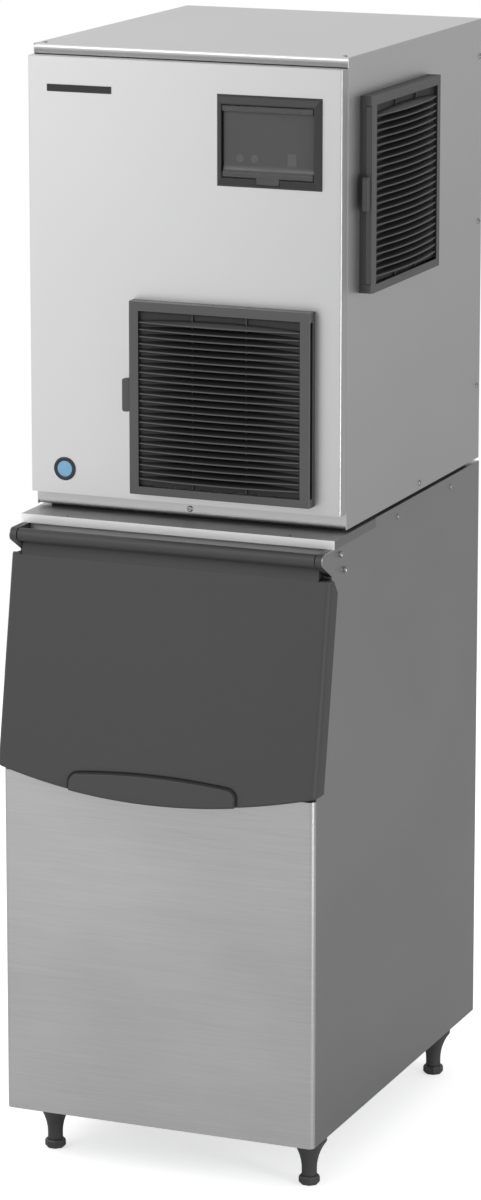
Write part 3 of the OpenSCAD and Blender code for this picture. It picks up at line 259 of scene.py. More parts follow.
def filter_look(name, axis, edge):
    """Black woven screen, and the frame's grey plastic before an edge along an axis."""
    look = Look(name)
    cells, height = look.cells(700.0)
    grain = look.grain(1500.0)
    screen = look.tinted(cells, SCREEN_BLACK, 0.15)
    plain = look.tinted(grain, GRILLE_GREY, 0.07)
    at_tab = look.maths("LESS_THAN", look.axes(look.coords)[axis], edge * MM)
    colour = look.mix(COLOURS, at_tab, screen, plain)
    relief = look.mix(VALUES, 0.5, height, grain)
    return look.dressed(colour, look.around(grain, 0.58, 0.08), relief, 200 * MICRON)


def trim_look(name):
    """Bright bent sheet: a satin band, a smoother ledge on top and arms like the bin's sides, the
    ledge and the arms with painted shade.
    """
    look = Look(name, METAL)
    lines = look.lines((12.0, 300.0, 900.0))
    facing = look.axes(look.add("ShaderNodeNewGeometry").outputs["Normal"])
    colour = look.tinted(lines, TRIM_GREY, 0.03)
    rough = look.around(lines, 0.50, TRIM_STRAY)
    # Painted shade: faces turned up take the ledge's darker tone, faces turned aside the arms'
    for axis, other, other_rough in (("Z", LEDGE_SHADE_GREY, 0.48), ("X", ARM_SHADE_GREY, 0.38)):
        shaded_face = look.maths("GREATER_THAN", look.maths("ABSOLUTE", facing[axis]), FACING)
        colour = look.mix(COLOURS, shaded_face, colour, look.tinted(lines, other, 0.04))
        rough = look.mix(VALUES, shaded_face, rough, look.around(lines, other_rough, TRIM_STRAY))
    return look.dressed(colour, rough, lines, 3 * MICRON)


def flap_look(name):
    """Smoked see-through plastic, with painted shadow of the gap round it along its edges."""
    look = Look(name, {"Alpha": FLAP_ALPHA})
    cloud = look.noise((30.0,) * 3)
    place = look.axes(look.coords)
    across = look.maths("ABSOLUTE", look.maths("SUBTRACT", place["X"], FLAP_AT[0] * MM))
    up = look.maths("SUBTRACT", place["Z"], FLAP_AT[1] * MM)
    at_side = look.maths("GREATER_THAN", across, (FLAP_HALF[0] - FLAP_EDGE) * MM)
    at_top = look.maths("GREATER_THAN", up, (FLAP_HALF[1] - FLAP_EDGE) * MM)
    at_foot = look.maths("LESS_THAN", up, (FLAP_EDGE - FLAP_HALF[1]) * MM)
    off_tab = look.maths("GREATER_THAN", across, FLAP_TAB_HALF * MM)
    foot_shadow = look.maths("MULTIPLY", at_foot, off_tab)
    # Painted shadow: black bands along the sides, the top and the foot beside the tab, where the
    # gap round the flap is
    gap_shadow = look.maths("MAXIMUM", look.maths("MAXIMUM", at_side, at_top), foot_shadow)
    colour = look.mix(COLOURS, gap_shadow, look.tinted(cloud, FLAP_GREY, 0.04), FLAP_GAP_SHADOW_BLACK)
    fine = look.noise((900.0,) * 3, 2.0)
    return look.dressed(colour, look.around(cloud, 0.30, 0.06), fine, 4 * MICRON)


# Colours and materials

FRONT_GREY = (0.66, 0.66, 0.662, 1.0)
HEAD_GREY = (0.62, 0.62, 0.622, 1.0)
BIN_GREY = (0.50, 0.50, 0.50, 1.0)
BIN_SIDE_GREY = (0.275, 0.275, 0.277, 1.0)
TRIM_GREY = (0.93, 0.93, 0.93, 1.0)
# The trim's ledge and arms: its own steel with painted shade
LEDGE_SHADE_GREY = (0.47, 0.47, 0.472, 1.0)
ARM_SHADE_GREY = shade(BIN_SIDE_GREY, 0.85)
STRIP_GREY = (0.40, 0.40, 0.402, 1.0)
SCREW_GREY = (0.36, 0.36, 0.36, 1.0)
UNIT_GREY = (0.55, 0.56, 0.57, 1.0)
ZINC_GREY = (0.5, 0.51, 0.52, 1.0)
FIN_GREY = (0.5, 0.5, 0.5, 1.0)
BRASS_YELLOW = (0.6, 0.43, 0.17, 1.0)
DOOR_GREY = (0.040, 0.040, 0.040, 1.0)
GRILLE_GREY = (0.073, 0.073, 0.074, 1.0)
BEZEL_GREY = (0.038, 0.038, 0.039, 1.0)
LEG_GREY = (0.045, 0.045, 0.046, 1.0)
THROAT_GREY = (0.06, 0.06, 0.063, 1.0)
PLATE_GREY = (0.045, 0.046, 0.048, 1.0)
KEY_WHITE = (0.72, 0.72, 0.73, 1.0)
DISPLAY_GREY = (0.11, 0.11, 0.115, 1.0)
LINER_WHITE = (0.8, 0.81, 0.82, 1.0)
SHROUD_BLACK = (0.025, 0.025, 0.026, 1.0)
SCREEN_BLACK = (0.016, 0.016, 0.018, 1.0)
FLAP_GREY = (0.10, 0.10, 0.101, 1.0)
# Painted shadow of the gap round the control flap
FLAP_GAP_SHADOW_BLACK = (0.006, 0.006, 0.006, 1.0)
FLOAT_ORANGE = (0.72, 0.36, 0.06, 1.0)
FOAM_YELLOW = (0.7, 0.6, 0.36, 1.0)
RUBBER_BLACK = (0.014, 0.014, 0.014, 1.0)
SHELL_BLACK = (0.018, 0.018, 0.019, 1.0)
CAST_GREY = (0.2, 0.22, 0.23, 1.0)
MOTOR_GREY = (0.25, 0.26, 0.27, 1.0)
RING_BLACK = (0.012, 0.018, 0.028, 1.0)
DISC_BLUE = (0.20, 0.42, 0.64, 1.0)
BAR_BLACK = (0.012, 0.012, 0.013, 1.0)

# A face of the trim is turned to an axis, and gets painted shade, when its normal's share along
# it is above this
FACING = 0.7
TRIM_STRAY = 0.04
# Control flap in the row frame, as X and Z in millimetres
FLAP_AT = (HEAD[0] + 153.0, HEAD[2] + 639.0)
FLAP_HALF = (80.5, 59.5)
FLAP_TAB_HALF = 20.0
# Width of the painted shadow along the flap's edges
FLAP_EDGE = 1.6
FLAP_ALPHA = 0.56
# Grilles in the head's frame; each filter's tab starts just inside its grille's near edge
GRILLE_HALF = 161.5
FRONT_GRILLE_X = 72.0
SIDE_GRILLE_Y = 214.0
TAB_EDGE = 4.5
# Ends of the painted light and shade on the steel sheets in the row frame, in millimetres
SHEET_ENDS = (-290.0, 270.0)
HEAD_ENDS = (1125.0, 1850.0)
LIP_ENDS = (1895.0, 1901.0)
BIN_SIDE_ENDS = (500.0, 1050.0)

SATIN = {"rough": 0.42, "grain": (40.0, 40.0, 1400.0), "depth": 6 * MICRON}
# Painted light: the front panel darkens towards the right
steel_front = brushed(
    "front_satin_steel", FRONT_GREY, **SATIN, vary=0.02, painted_light_fade=("X", *SHEET_ENDS, 1.0, 0.84)
)
# Painted shade: the head's base and sides darken towards the bottom
steel_head = brushed(
    "head_satin_steel", HEAD_GREY, **SATIN, vary=0.03, painted_light_fade=("Z", *HEAD_ENDS, 0.84, 1.04)
)
# Painted shadow: the cover is dark below its front lip's roll
steel_cover = brushed(
    "cover_satin_steel", HEAD_GREY, **SATIN, vary=0.03, painted_light_fade=("Z", *LIP_ENDS, 0.4, 1.04)
)
# Painted light: the bin's front and deck darken towards the right
steel_bin = brushed(
    "bin_brushed_steel", BIN_GREY, rough=0.36, grain=(9.0, 9.0, 700.0), depth=30 * MICRON,
    vary=0.13, painted_light_fade=("X", *SHEET_ENDS, 1.03, 0.92),
)
# Painted light: the bin's sides grow lighter towards the top
steel_bin_side = brushed(
    "bin_side_brushed_steel", BIN_SIDE_GREY, rough=0.38, grain=(7.0, 7.0, 900.0),
    depth=20 * MICRON, vary=0.07, painted_light_fade=("Z", *BIN_SIDE_ENDS, 0.95, 1.16),
)
steel_trim = trim_look("trim_bright_steel")
steel_screw = brushed(
    "screw_plated_steel", SCREW_GREY, rough=0.22, grain=(300.0,) * 3, depth=5 * MICRON, vary=0.05
)
steel_unit = brushed(
    "unit_machined_steel", UNIT_GREY, rough=0.3, grain=(30.0, 30.0, 1600.0), depth=10 * MICRON,
    vary=0.05,
)
steel_zinc = cellular(
    "zinc_plated_sheet", ZINC_GREY, rough=0.4, cell=120.0, depth=4 * MICRON, vary=0.035,
    sockets=METAL,
)
fin_metal = brushed(
    "condenser_fin_metal", FIN_GREY, rough=0.35, grain=(900.0, 30.0, 30.0), depth=20 * MICRON,
    vary=0.06,
)
brass = brushed(
    "turned_brass", BRASS_YELLOW, rough=0.28, grain=(900.0, 900.0, 60.0), depth=8 * MICRON,
    vary=0.05,
)
strip_paint = moulded(
    "strip_grey_paint", STRIP_GREY, rough=0.55, cell=700.0, depth=30 * MICRON, vary=0.04
)
# Painted shade in the hollows and gaps of the door, the grilles and the bezel
door_plastic = moulded(
    "door_grained_plastic", DOOR_GREY, rough=0.55, cell=650.0, depth=300 * MICRON, vary=0.1,
    painted_shade_reach=0.012,
)
grille_plastic = moulded(
    "grille_grained_plastic", GRILLE_GREY, rough=0.48, cell=1500.0, depth=60 * MICRON, painted_shade_reach=0.03
)
bezel_plastic = moulded(
    "bezel_grained_plastic", BEZEL_GREY, rough=0.46, cell=1500.0, depth=60 * MICRON,
    sockets={"Specular IOR Level": 0.25}, painted_shade_reach=0.015,
)
leg_plastic = moulded("leg_plastic", LEG_GREY, rough=0.5, cell=900.0, depth=80 * MICRON)
frame_plastic = moulded("frame_plastic", THROAT_GREY, rough=0.5)
plate_plastic = moulded("key_plate_plastic", PLATE_GREY, rough=0.5)
key_plastic = moulded("key_plastic", KEY_WHITE, rough=0.45, cell=1800.0, depth=40 * MICRON)
window_plastic = moulded(
    "display_plastic", DISPLAY_GREY, rough=0.14, cell=600.0, depth=2 * MICRON
)
liner_plastic = moulded(
    "liner_white_plastic", LINER_WHITE, rough=0.32, cell=400.0, depth=40 * MICRON, vary=0.02
)
shroud_plastic = moulded("shroud_black_plastic", SHROUD_BLACK, rough=0.45)
flap_plastic = flap_look("smoked_flap_plastic")
front_mesh = filter_look(
    "front_filter_screen", "X", HEAD[0] + FRONT_GRILLE_X - GRILLE_HALF + TAB_EDGE
)
side_mesh = filter_look(
    "side_filter_screen", "Y", HEAD[1] + SIDE_GRILLE_Y - GRILLE_HALF + TAB_EDGE
)
float_plastic = cellular(
    "float_closed_foam", FLOAT_ORANGE, rough=0.65, cell=900.0, depth=100 * MICRON
)
foam = cellular("wall_foam", FOAM_YELLOW, rough=0.85, cell=500.0, depth=600 * MICRON)
rubber_foam = cellular(
    "black_foam_rubber", RUBBER_BLACK, rough=0.85, cell=700.0, depth=300 * MICRON
)
shell_paint = cellular("shell_black_paint", SHELL_BLACK, rough=0.3, cell=300.0, depth=40 * MICRON)
cast_paint = cellular("cast_grey_paint", CAST_GREY, rough=0.5, cell=260.0, depth=200 * MICRON)
motor_paint = cellular("motor_grey_paint", MOTOR_GREY, rough=0.45, cell=400.0, depth=80 * MICRON)
badge_ring = moulded(
    "badge_dark_enamel", RING_BLACK, rough=0.22, cell=500.0, depth=10 * MICRON, vary=0.1
)
badge_blue = moulded(
    "badge_blue_enamel", DISC_BLUE, rough=0.2, cell=300.0, depth=10 * MICRON, vary=0.12
)
bar_black = moulded(
    "bar_black_anodised", BAR_BLACK, rough=0.3, cell=1600.0, depth=10 * MICRON, vary=0.12
)

LOOKS = {
    steel_bin: ["bin_front_panel", "bin_deck"],
    steel_bin_side: ["bin_left_panel", "bin_right_panel"],
    steel_zinc: ["bin_rear_panel", "bin_base", "head_rear_panel", "control_box"],
    strip_paint: ["bin_header"],
    steel_trim: ["bin_top_trim"],
    steel_front: ["head_front_panel"],
    steel_head: ["head_base", "head_right_panel", "head_left_panel"],
    steel_cover: ["head_top_cover"],
    steel_screw: ["head_screws", "bin_screws"],
    steel_unit: ["evaporator", "auger", "cutter", "extruding_head"],
    foam: ["bin_insulation"],
    liner_plastic: ["bin_liner", "bin_drain", "ice_spout", "water_reservoir", "drain_outlet"],
    frame_plastic: ["bin_throat"],
    rubber_foam: ["bin_gasket", "evaporator_foam"],
    door_plastic: ["bin_door", "hinge_blocks"],
    leg_plastic: [
        "leg_front_left", "leg_front_right", "leg_rear_left", "leg_rear_right",
        "foot_front_left", "foot_front_right", "foot_rear_left", "foot_rear_right",
    ],
    grille_plastic: ["front_grille", "side_grille"],
    bezel_plastic: ["control_bezel"],
    front_mesh: ["front_filter"],
    side_mesh: ["side_filter"],
    plate_plastic: ["key_plate"],
    window_plastic: ["display_window"],
    flap_plastic: ["control_flap"],
    key_plastic: ["left_key", "right_key", "power_key"],
    cast_paint: ["gear_motor"],
    float_plastic: ["float"],
    shell_paint: ["compressor"],
    fin_metal: ["condenser"],
    shroud_plastic: ["fan_shroud", "fan_blade", "cord_gland"],
    motor_paint: ["fan_motor"],
    brass: ["water_inlet"],
}
for look, names in LOOKS.items():
    for name in names:
        slots = nodes[name].data.materials
        if not slots:
            slots.append(look)
        for i in range(len(slots)):
            slots[i] = look


# Meshes


def piece(name, points, faces, look, body, sharp=35.0):
    """A new piece from points in millimetres in the row frame.

    It is smooth but for edges that turn by more than sharp degrees.
    """
    mesh = bpy.data.meshes.new(name)
    corners = [tuple(p) for p in np.asarray(points, float) * MM]
    mesh.from_pydata(corners, [], [list(f) for f in faces])
    work = bmesh.new()
    work.from_mesh(mesh)
    bmesh.ops.remove_doubles(work, verts=work.verts, dist=MICRON)
    bmesh.ops.recalc_face_normals(work, faces=work.faces)
    for face in work.faces:
        face.smooth = True
    for edge in work.edges:
        edge.smooth = len(edge.link_faces) == 2 and edge.calc_face_angle() < math.radians(sharp)
    work.to_mesh(mesh)
    work.free()
    mesh.materials.append(look)
    made = bpy.data.objects.new(name, mesh)
    scene.collection.objects.link(made)
    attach(made, body)
    return made


def grid_faces(rows, cols, start_at=0, flip=False):
    """Quads of a grid of points held row by row."""
    out = []
    for j in range(rows - 1):
        for i in range(cols - 1):
            a = start_at + j * cols + i
            quad = [a, a + 1, a + cols + 1, a + cols]
            out.append(quad[::-1] if flip else quad)
    return out


def ring_faces(count, steps, around=False):
    """Quads between rings of points held ring by ring.

    Two caps close the first and the last ring, or, with around, quads join them.
    """
    faces = []
    for k in range(count if around else count - 1):
        a, b = k * steps, (k + 1) % count * steps
        for i in range(steps):
            j = (i + 1) % steps
            faces.append([a + i, a + j, b + j, b + i])
    if not around:
        faces.append(list(range(steps)))
        faces.append([(count - 1) * steps + i for i in range(steps)][::-1])
    return faces


# Bin door, in the bin's frame, in millimetres: the CAD door's own form with soft edges

DOOR_HALF = 288.0
DOOR_TOP = 959.3
DOOR_LEN = 352.0
DOOR_SAG = 35.0
DOOR_BOW = 10.5
DOOR_SLOPE = 64.0 / DOOR_LEN
DOOR_TOP_Y = 53.0
DOOR_T = 21.0
DOOR_RETURN = 38.0
DOOR_NOTCH = 26.0
DOOR_CHAMFER = 12.0
# Round edges: at the sides, with the turns of their columns in degrees, below and on top
EDGE_R = 10.0
EDGE_TURNS_IN = (9, 15, 26)
EDGE_TURNS_OUT = (33, 42, 52, 63, 76, 90)
LOW_R = 4.0
TOP_R = 2.5
# The inside of the slab ends at IN_HALF and the side returns start at LIP_HALF
IN_HALF = 281.4
LIP_HALF = 282.4
# The slab's inside comes forward over the bin's front panel
RAMP_LOW = 612.3
RAMP_H = 18.0
FRONT_GAP = 2.0
# Grip pad, with a groove round it
PAD_HALF = 150.0
PAD_RAISE = 6.0
PAD_RISE = 9.0
PAD_LOW = 609.3
PAD_CORNER = 14.0
PAD_EASE = 3.0
GROOVE_DEPTH = 1.6
GROOVE_AT = 1.2
GROOVE_W = 1.6
# Close columns at the pad's ends, 1 mm apart, and wide ones to both sides of them
FINE_IN = 20
FINE_OUT = 8
WIDE_COLUMNS = 14
COLUMN_GAP = 0.3
# Rows of the round edges, the wall and the part under the pad's upper edge
TURN_ROWS = 6
WALL_ROWS = 16
LOW_ROWS = 5
# Close rows above and below the pad's upper edge
PAD_ABOVE = 10.0
PAD_BELOW = 13.2
PAD_ROWS = 30
PAD_STEP = (PAD_ABOVE + PAD_BELOW) / (PAD_ROWS - 1)
# Rows that would pass the lower edge lie just over it instead, in their own order
STACK = 0.02
STACK_FROM = 20.0
STACK_LAST = 0.1


def face_y(z):
    """The door's leaning face, before its bow."""
    return DOOR_TOP_Y - DOOR_SLOPE * (DOOR_TOP - z)


def belly(x):
    """1 at the door's middle and 0 at its sides."""
    return 1 - (x / DOOR_HALF) ** 2


def low_z(x):
    """The door's lower edge."""
    return DOOR_TOP - (DOOR_LEN + DOOR_SAG * belly(x))


def pad_top(x):
    """The grip pad's upper edge."""
    return PAD_LOW + PAD_RISE * (1 - np.minimum(1.0, (x / PAD_HALF) ** 2))


def smooth(t):
    """An ease from 0 to 1."""
    t = np.clip(t, 0, 1)
    return t * t * (3 - 2 * t)


def pad_lift(x, z):
    """How far the grip pad stands out of the door's face, with the groove round it."""
    across = np.abs(x) - PAD_HALF + PAD_CORNER
    up = z - pad_top(x) + PAD_CORNER
    reach = np.hypot(np.maximum(across, 0), np.maximum(up, 0))
    away = reach + np.minimum(np.maximum(across, up), 0) - PAD_CORNER
    groove = GROOVE_DEPTH * np.exp(-(((away - GROOVE_AT) / GROOVE_W) ** 2))
    return PAD_RAISE * smooth(0.5 - away / PAD_EASE) - groove


def edge_in(x):
    """How far the round side edges fall back."""
    past = np.maximum(0, np.abs(x) - (DOOR_HALF - EDGE_R))
    return EDGE_R - np.sqrt(np.maximum(0, EDGE_R**2 - past**2))


def door_columns():
    """Places of the door's columns, closer at the pad's ends and on the round edges."""
    curve_at = DOOR_HALF - EDGE_R
    half = list(np.linspace(0, PAD_HALF - FINE_IN, WIDE_COLUMNS))
    half += list(PAD_HALF - FINE_IN + np.arange(1, FINE_IN + FINE_OUT + 1) * 1.0)
    half += list(np.linspace(PAD_HALF + FINE_OUT, curve_at, WIDE_COLUMNS)[1:])
    half += [curve_at + EDGE_R * math.sin(math.radians(a)) for a in EDGE_TURNS_IN]
    half = [x for x in half if x < IN_HALF - COLUMN_GAP] + [IN_HALF, LIP_HALF]
    half += [curve_at + EDGE_R * math.sin(math.radians(a)) for a in EDGE_TURNS_OUT]
    return np.array([-x for x in half[:0:-1]] + half)


def door_rows():
    """The door's rows from top to bottom, each a band and a place in it."""
    turns = np.radians(np.linspace(0, 90, TURN_ROWS))
    rows = [("top", a) for a in turns[::-1]]
    rows += [("wall", f) for f in np.linspace(0, 1, WALL_ROWS)[1:]]
    rows += [("pad", up) for up in np.linspace(PAD_ABOVE, -PAD_BELOW, PAD_ROWS)]
    rows += [("low", f) for f in np.linspace(0, 1, LOW_ROWS)[1:]]
    rows += [("edge", a) for a in turns[1:]]
    return rows


def door_mesh():
    xs = door_columns()
    rows = door_rows()
    end = low_z(xs)
    front, inner = [], []
    for band, v in rows:
        back = np.zeros_like(xs)
        if band == "top":
            z = np.full_like(xs, DOOR_TOP - TOP_R * (1 - math.sin(v)))
            back += TOP_R * (1 - math.cos(v))
        elif band == "wall":
            first = DOOR_TOP - TOP_R
            z = first + (pad_top(xs) + PAD_ABOVE + PAD_STEP - first) * v
        elif band == "pad":
            z = np.maximum(pad_top(xs) + v, end + LOW_R + STACK * (v + STACK_FROM))
        elif band == "low":
            low_start = np.maximum(pad_top(xs) - PAD_BELOW, end + LOW_R + STACK_LAST)
            z = low_start + (end + LOW_R - low_start) * v
        else:
            z = end + LOW_R * (1 - math.sin(v))
            back += LOW_R * (1 - math.cos(v))
        bow = DOOR_BOW * belly(xs) * (DOOR_TOP - z) / (DOOR_TOP - end)
        y = face_y(z) - bow + edge_in(xs) - pad_lift(xs, z) + back
        front.append(np.stack([xs, y, z], 1))
        slab = face_y(z) + DOOR_T
        share = smooth((RAMP_LOW + RAMP_H - z) / RAMP_H)
        slab = slab * (1 - share) - FRONT_GAP * share
        notch = np.clip((z - DOOR_TOP + DOOR_CHAMFER) / DOOR_CHAMFER, 0, 1)
        side = face_y(z) + DOOR_RETURN - DOOR_NOTCH * notch
        yi = np.where(np.abs(xs) > (IN_HALF + LIP_HALF) / 2, side, slab)
        inner.append(np.stack([xs, yi, z], 1))
    n, c = len(rows), len(xs)
    points = np.concatenate(front + inner) + BIN
    back_at = n * c
    faces = grid_faces(n, c) + grid_faces(n, c, back_at, True)
    last = (n - 1) * c
    for i in range(c - 1):
        faces.append([i, back_at + i, back_at + i + 1, i + 1])
        faces.append([last + i, last + i + 1, back_at + last + i + 1, back_at + last + i])
    for j in range(n - 1):
        a = j * c
        faces.append([a, a + c, back_at + a + c, back_at + a])
        b = a + c - 1
        faces.append([b, back_at + b, back_at + b + c, b + c])
    return points, faces


def sweep_across(profile, half, bevel):
    """A closed (y, z) outline drawn out from -half to half, with bevelled ends."""
    profile = np.asarray(profile, float)
    away = profile - profile.mean(0)
    way = away / np.maximum(np.linalg.norm(away, axis=1, keepdims=True), 1e-6)
    rings = []
    for x, inset in ((-half, bevel), (-half + bevel, 0), (half - bevel, 0), (half, bevel)):
        ring = profile - way * inset
        rings.append(np.column_stack([np.full(len(ring), x), ring]))
    return np.concatenate(rings), ring_faces(len(rings), len(profile))


# Hinge roll and the neck that joins it to the door, in the bin's frame
ROLL_R = 11.2
ROLL_Y = 44.0
ROLL_Z = 994.8
ROLL_END = 8
NECK_HALF = 267.1
NECK_SET = 0.15
NECK_LAP = 5.0
NECK_BACK = 1.0
NECK_BEVEL = 0.8
FILLET_R = 5.0
FILLET_SEARCH = 0.02
FILLET_STEPS = 8
ROLL_STEPS = 40


def neck_profile():
    """The door's neck and hinge roll seen from the side, with a fillet under the roll."""
    tilt = math.atan(DOOR_SLOPE)
    forward = np.array([-math.cos(tilt), math.sin(tilt)])
    roll = np.array([ROLL_Y, ROLL_Z])

    def centre_at(z):
        """The fillet's middle, where it leaves the neck's face at a height."""
        return np.array([face_y(z), z]) + FILLET_R * forward

    best = min(
        np.arange(DOOR_TOP, ROLL_Z, FILLET_SEARCH),
        key=lambda z: abs(np.linalg.norm(centre_at(z) - roll) - ROLL_R - FILLET_R),
    )
    centre = centre_at(best)
    touch = (roll - centre) / np.linalg.norm(roll - centre)
    lap = DOOR_TOP - NECK_LAP
    out = [(face_y(lap) + NECK_SET, lap)]
    fillet_from = math.atan2(-forward[1], -forward[0])
    fillet_to = math.atan2(touch[1], touch[0])
    for a in np.linspace(fillet_from, fillet_to, FILLET_STEPS):
        out.append((centre[0] + FILLET_R * math.cos(a), centre[1] + FILLET_R * math.sin(a)))
    roll_from = math.atan2(-touch[1], -touch[0])
    roll_from += 2 * math.pi if roll_from < 0 else 0
    for b in np.linspace(roll_from, math.radians(ROLL_END), ROLL_STEPS)[1:]:
        out.append((ROLL_Y + ROLL_R * math.cos(b), ROLL_Z + ROLL_R * math.sin(b)))
    out.append((face_y(DOOR_TOP) + DOOR_T, DOOR_TOP + ROLL_R))
    out.append((face_y(lap) + DOOR_T - NECK_BACK, lap))
    return out


door_points, door_faces = door_mesh()
door = piece("bin_door_skin", door_points, door_faces, door_plastic, "door")
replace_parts(door, "bin_door")
neck_points, neck_faces = sweep_across(neck_profile(), NECK_HALF, NECK_BEVEL)
piece("bin_door_roll", neck_points + BIN, neck_faces, door_plastic, "door")


# Bare emblem and bar on the front panel, in millimetres

PANEL_Y = -26.0
# Their backs stand this far off the panel's face
BACK_GAP = 0.05
BADGE_AT = HEAD + np.array([-217.0, PANEL_Y, 69.4])
# Outline of the emblem's ring: radius, and how far forward
RING_OUTLINE = [
    (13.4, BACK_GAP), (19.6, BACK_GAP), (20.0, 0.5), (19.7, 1.1),
    (19.0, 1.4), (14.4, 1.4), (13.7, 1.1), (13.4, 0.7),
]
DISC_R = 13.35
DISC_RIM = 0.7
DISC_DOME = 0.6
DISC_TURNS = np.radians(np.linspace(0, 86, 12))
BAR_AT = HEAD + np.array([-186.0, PANEL_Y, 711.0])
BAR_W = 116.0
BAR_H = 12.0
BAR_T = 1.4
BAR_R = 1.0
BAR_CHAMFER = 0.4


def lathe_y(profile, centre, around=False, steps=64):
    """A (radius, forward) outline turned round an axis that points to the front."""
    turn = np.linspace(0, 2 * math.pi, steps, endpoint=False)
    rings = []
    for r, forward in profile:
        ring = [r * np.cos(turn), np.full(steps, -forward), r * np.sin(turn)]
        rings.append(np.column_stack(ring))
    return np.concatenate(rings) + centre, ring_faces(len(rings), steps, around)


def plate(centre, w, h, thick, r, chamfer, steps=6):
    """A plate that faces the front, with round corners and a chamfered face."""
    rings = []
    for inset, forward in ((0, BACK_GAP), (0, thick - chamfer), (chamfer, thick)):
        ring = []
        for sx, sz, first in ((1, 1, 0), (-1, 1, 90), (-1, -1, 180), (1, -1, 270)):
            for a in np.radians(np.linspace(first, first + 90, steps)):
                x = (w / 2 - r) * sx + (r - inset) * math.cos(a)
                z = (h / 2 - r) * sz + (r - inset) * math.sin(a)
                ring.append((x, -forward, z))
        rings.append(np.array(ring))
    return np.concatenate(rings) + centre, ring_faces(len(rings), len(rings[0]))


rim_points, rim_faces = lathe_y(RING_OUTLINE, BADGE_AT, around=True)
piece("badge_rim", rim_points, rim_faces, badge_ring, "machine")
dome = [(DISC_R * math.cos(a), DISC_RIM + DISC_DOME * math.sin(a)) for a in DISC_TURNS]
disc_points, disc_faces = lathe_y([(DISC_R, BACK_GAP)] + dome, BADGE_AT)
piece("badge_disc", disc_points, disc_faces, badge_blue, "machine")
bar_points, bar_faces = plate(BAR_AT, BAR_W, BAR_H, BAR_T, BAR_R, BAR_CHAMFER)
piece("front_bar", bar_points, bar_faces, bar_black, "machine")


# Pan-head screws with a cross recess, in place of the CAD's plain heads, and two rivets

SCREW_R = 5.2
SCREW_H = 2.4
EAR_SCREW_H = 6.0
TOP_SCREW_R = 4.5
TOP_SCREW_H = 1.8
RIVET_R = 2.4
RIVET_H = 0.8
SCREW_STEPS = 48
SCREW_RINGS = 12
# The dome's height as a share of a usual screw's, and a rivet's shoulder as a share of its own
SCREW_DOME = 0.55
RIVET_SHOULDER = 0.3
# How soon the dome reaches its height, and how its rings close in
DOME_RISE = 2.2
DOME_TAPER = 0.8
SCREW_SHARP = 50.0
CROSS_DEPTH = 0.9
CROSS_HALF = 0.55
CROSS_REACH = 2.6
# Places of the ice maker's screws in the head's frame, the side ones as Y and Z
HEAD_HALF = 280.0
HEAD_SIDE_SCREWS = ((636.0, 715.0), (636.0, 425.0), (636.0, 132.0), (348.0, 12.0))
TOP_SCREW_AT = (HEAD_HALF - 13.0, 17.0, 780.0)
LIP_SCREW_AT = (0.0, 0.0, 13.0)
# Places of the bin's screws and rivets in the bin's frame, the side ones as Y and Z
BIN_HALF = 281.0
BIN_SIDE_SCREWS = ((650.0, 1002.0), (387.0, 1002.0))
EAR_SCREWS = ((113.0, 993.0), (134.0, 963.0))
RIVET_AT = (201.0, 93.0, 1021.0)


def screw_mesh(place, out, radius=SCREW_R, height=SCREW_H, crossed=True):
    """One screw or rivet head at a place in the row frame, pointing along out."""
    out = Vector(out)
    side = out.orthogonal().normalized()
    other = out.cross(side)
    shoulder = height - SCREW_H * SCREW_DOME if crossed else height * RIVET_SHOULDER
    profile = [(radius, 0.0), (radius, shoulder)]
    for k in range(1, SCREW_RINGS):
        rise = math.sin(math.pi / 2 * min(1.0, DOME_RISE * k / SCREW_RINGS))
        r = radius * (1 - k / SCREW_RINGS) ** DOME_TAPER
        profile.append((r, shoulder + (height - shoulder) * rise))
    points = []
    for r, h in profile:
        for i in range(SCREW_STEPS):
            a = 2 * math.pi * i / SCREW_STEPS
            u, v = r * math.cos(a), r * math.sin(a)
            in_cross = crossed and min(abs(u), abs(v)) < CROSS_HALF and r < CROSS_REACH
            up = h - CROSS_DEPTH if in_cross else h
            points.append(tuple(Vector(place) + side * u + other * v + out * up))
    return points, ring_faces(len(profile), SCREW_STEPS)


def screw_set(name, places, look):
    """One piece with a head at each place."""
    points, faces = [], []
    for place in places:
        p, f = screw_mesh(*place)
        faces += [[len(points) + i for i in face] for face in f]
        points += p
    return piece(name, points, faces, look, "machine", SCREW_SHARP)


UP = (0, 0, 1)
FORWARD = (0, -1, 0)
head_places = []
bin_places = []
rivet_places = []
for side in (-1, 1):
    mirror = np.array([side, 1, 1])
    outward = (side, 0, 0)
    for y, z in HEAD_SIDE_SCREWS:
        head_places.append((HEAD + np.array([side * HEAD_HALF, y, z]), outward))
    head_places.append((HEAD + mirror * TOP_SCREW_AT, UP, TOP_SCREW_R, TOP_SCREW_H))
    for y, z in BIN_SIDE_SCREWS:
        bin_places.append((BIN + np.array([side * BIN_HALF, y, z]), outward))
    for y, z in EAR_SCREWS:
        ear_place = BIN + np.array([side * BIN_HALF, y, z])
        bin_places.append((ear_place, outward, SCREW_R, EAR_SCREW_H))
    rivet_places.append((BIN + mirror * RIVET_AT, UP, RIVET_R, RIVET_H, False))
head_places.append((HEAD + LIP_SCREW_AT, FORWARD))
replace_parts(screw_set("head_screw_heads", head_places, steel_screw), "head_screws")
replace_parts(screw_set("bin_screw_heads", bin_places, steel_screw), "bin_screws")
screw_set("trim_rivets", rivet_places, shroud_plastic)


# Floor: pale paint, lifted to white for the camera, which keeps the shadow

WHITE = (1.0, 1.0, 1.0, 1.0)
FLOOR_R = 3.2
FLOOR_STEPS = 128
FLOOR_Z = -0.0005
FLOOR_PAINT = (0.8, 0.8, 0.8, 1.0)
FLOOR_LIFT = 0.6

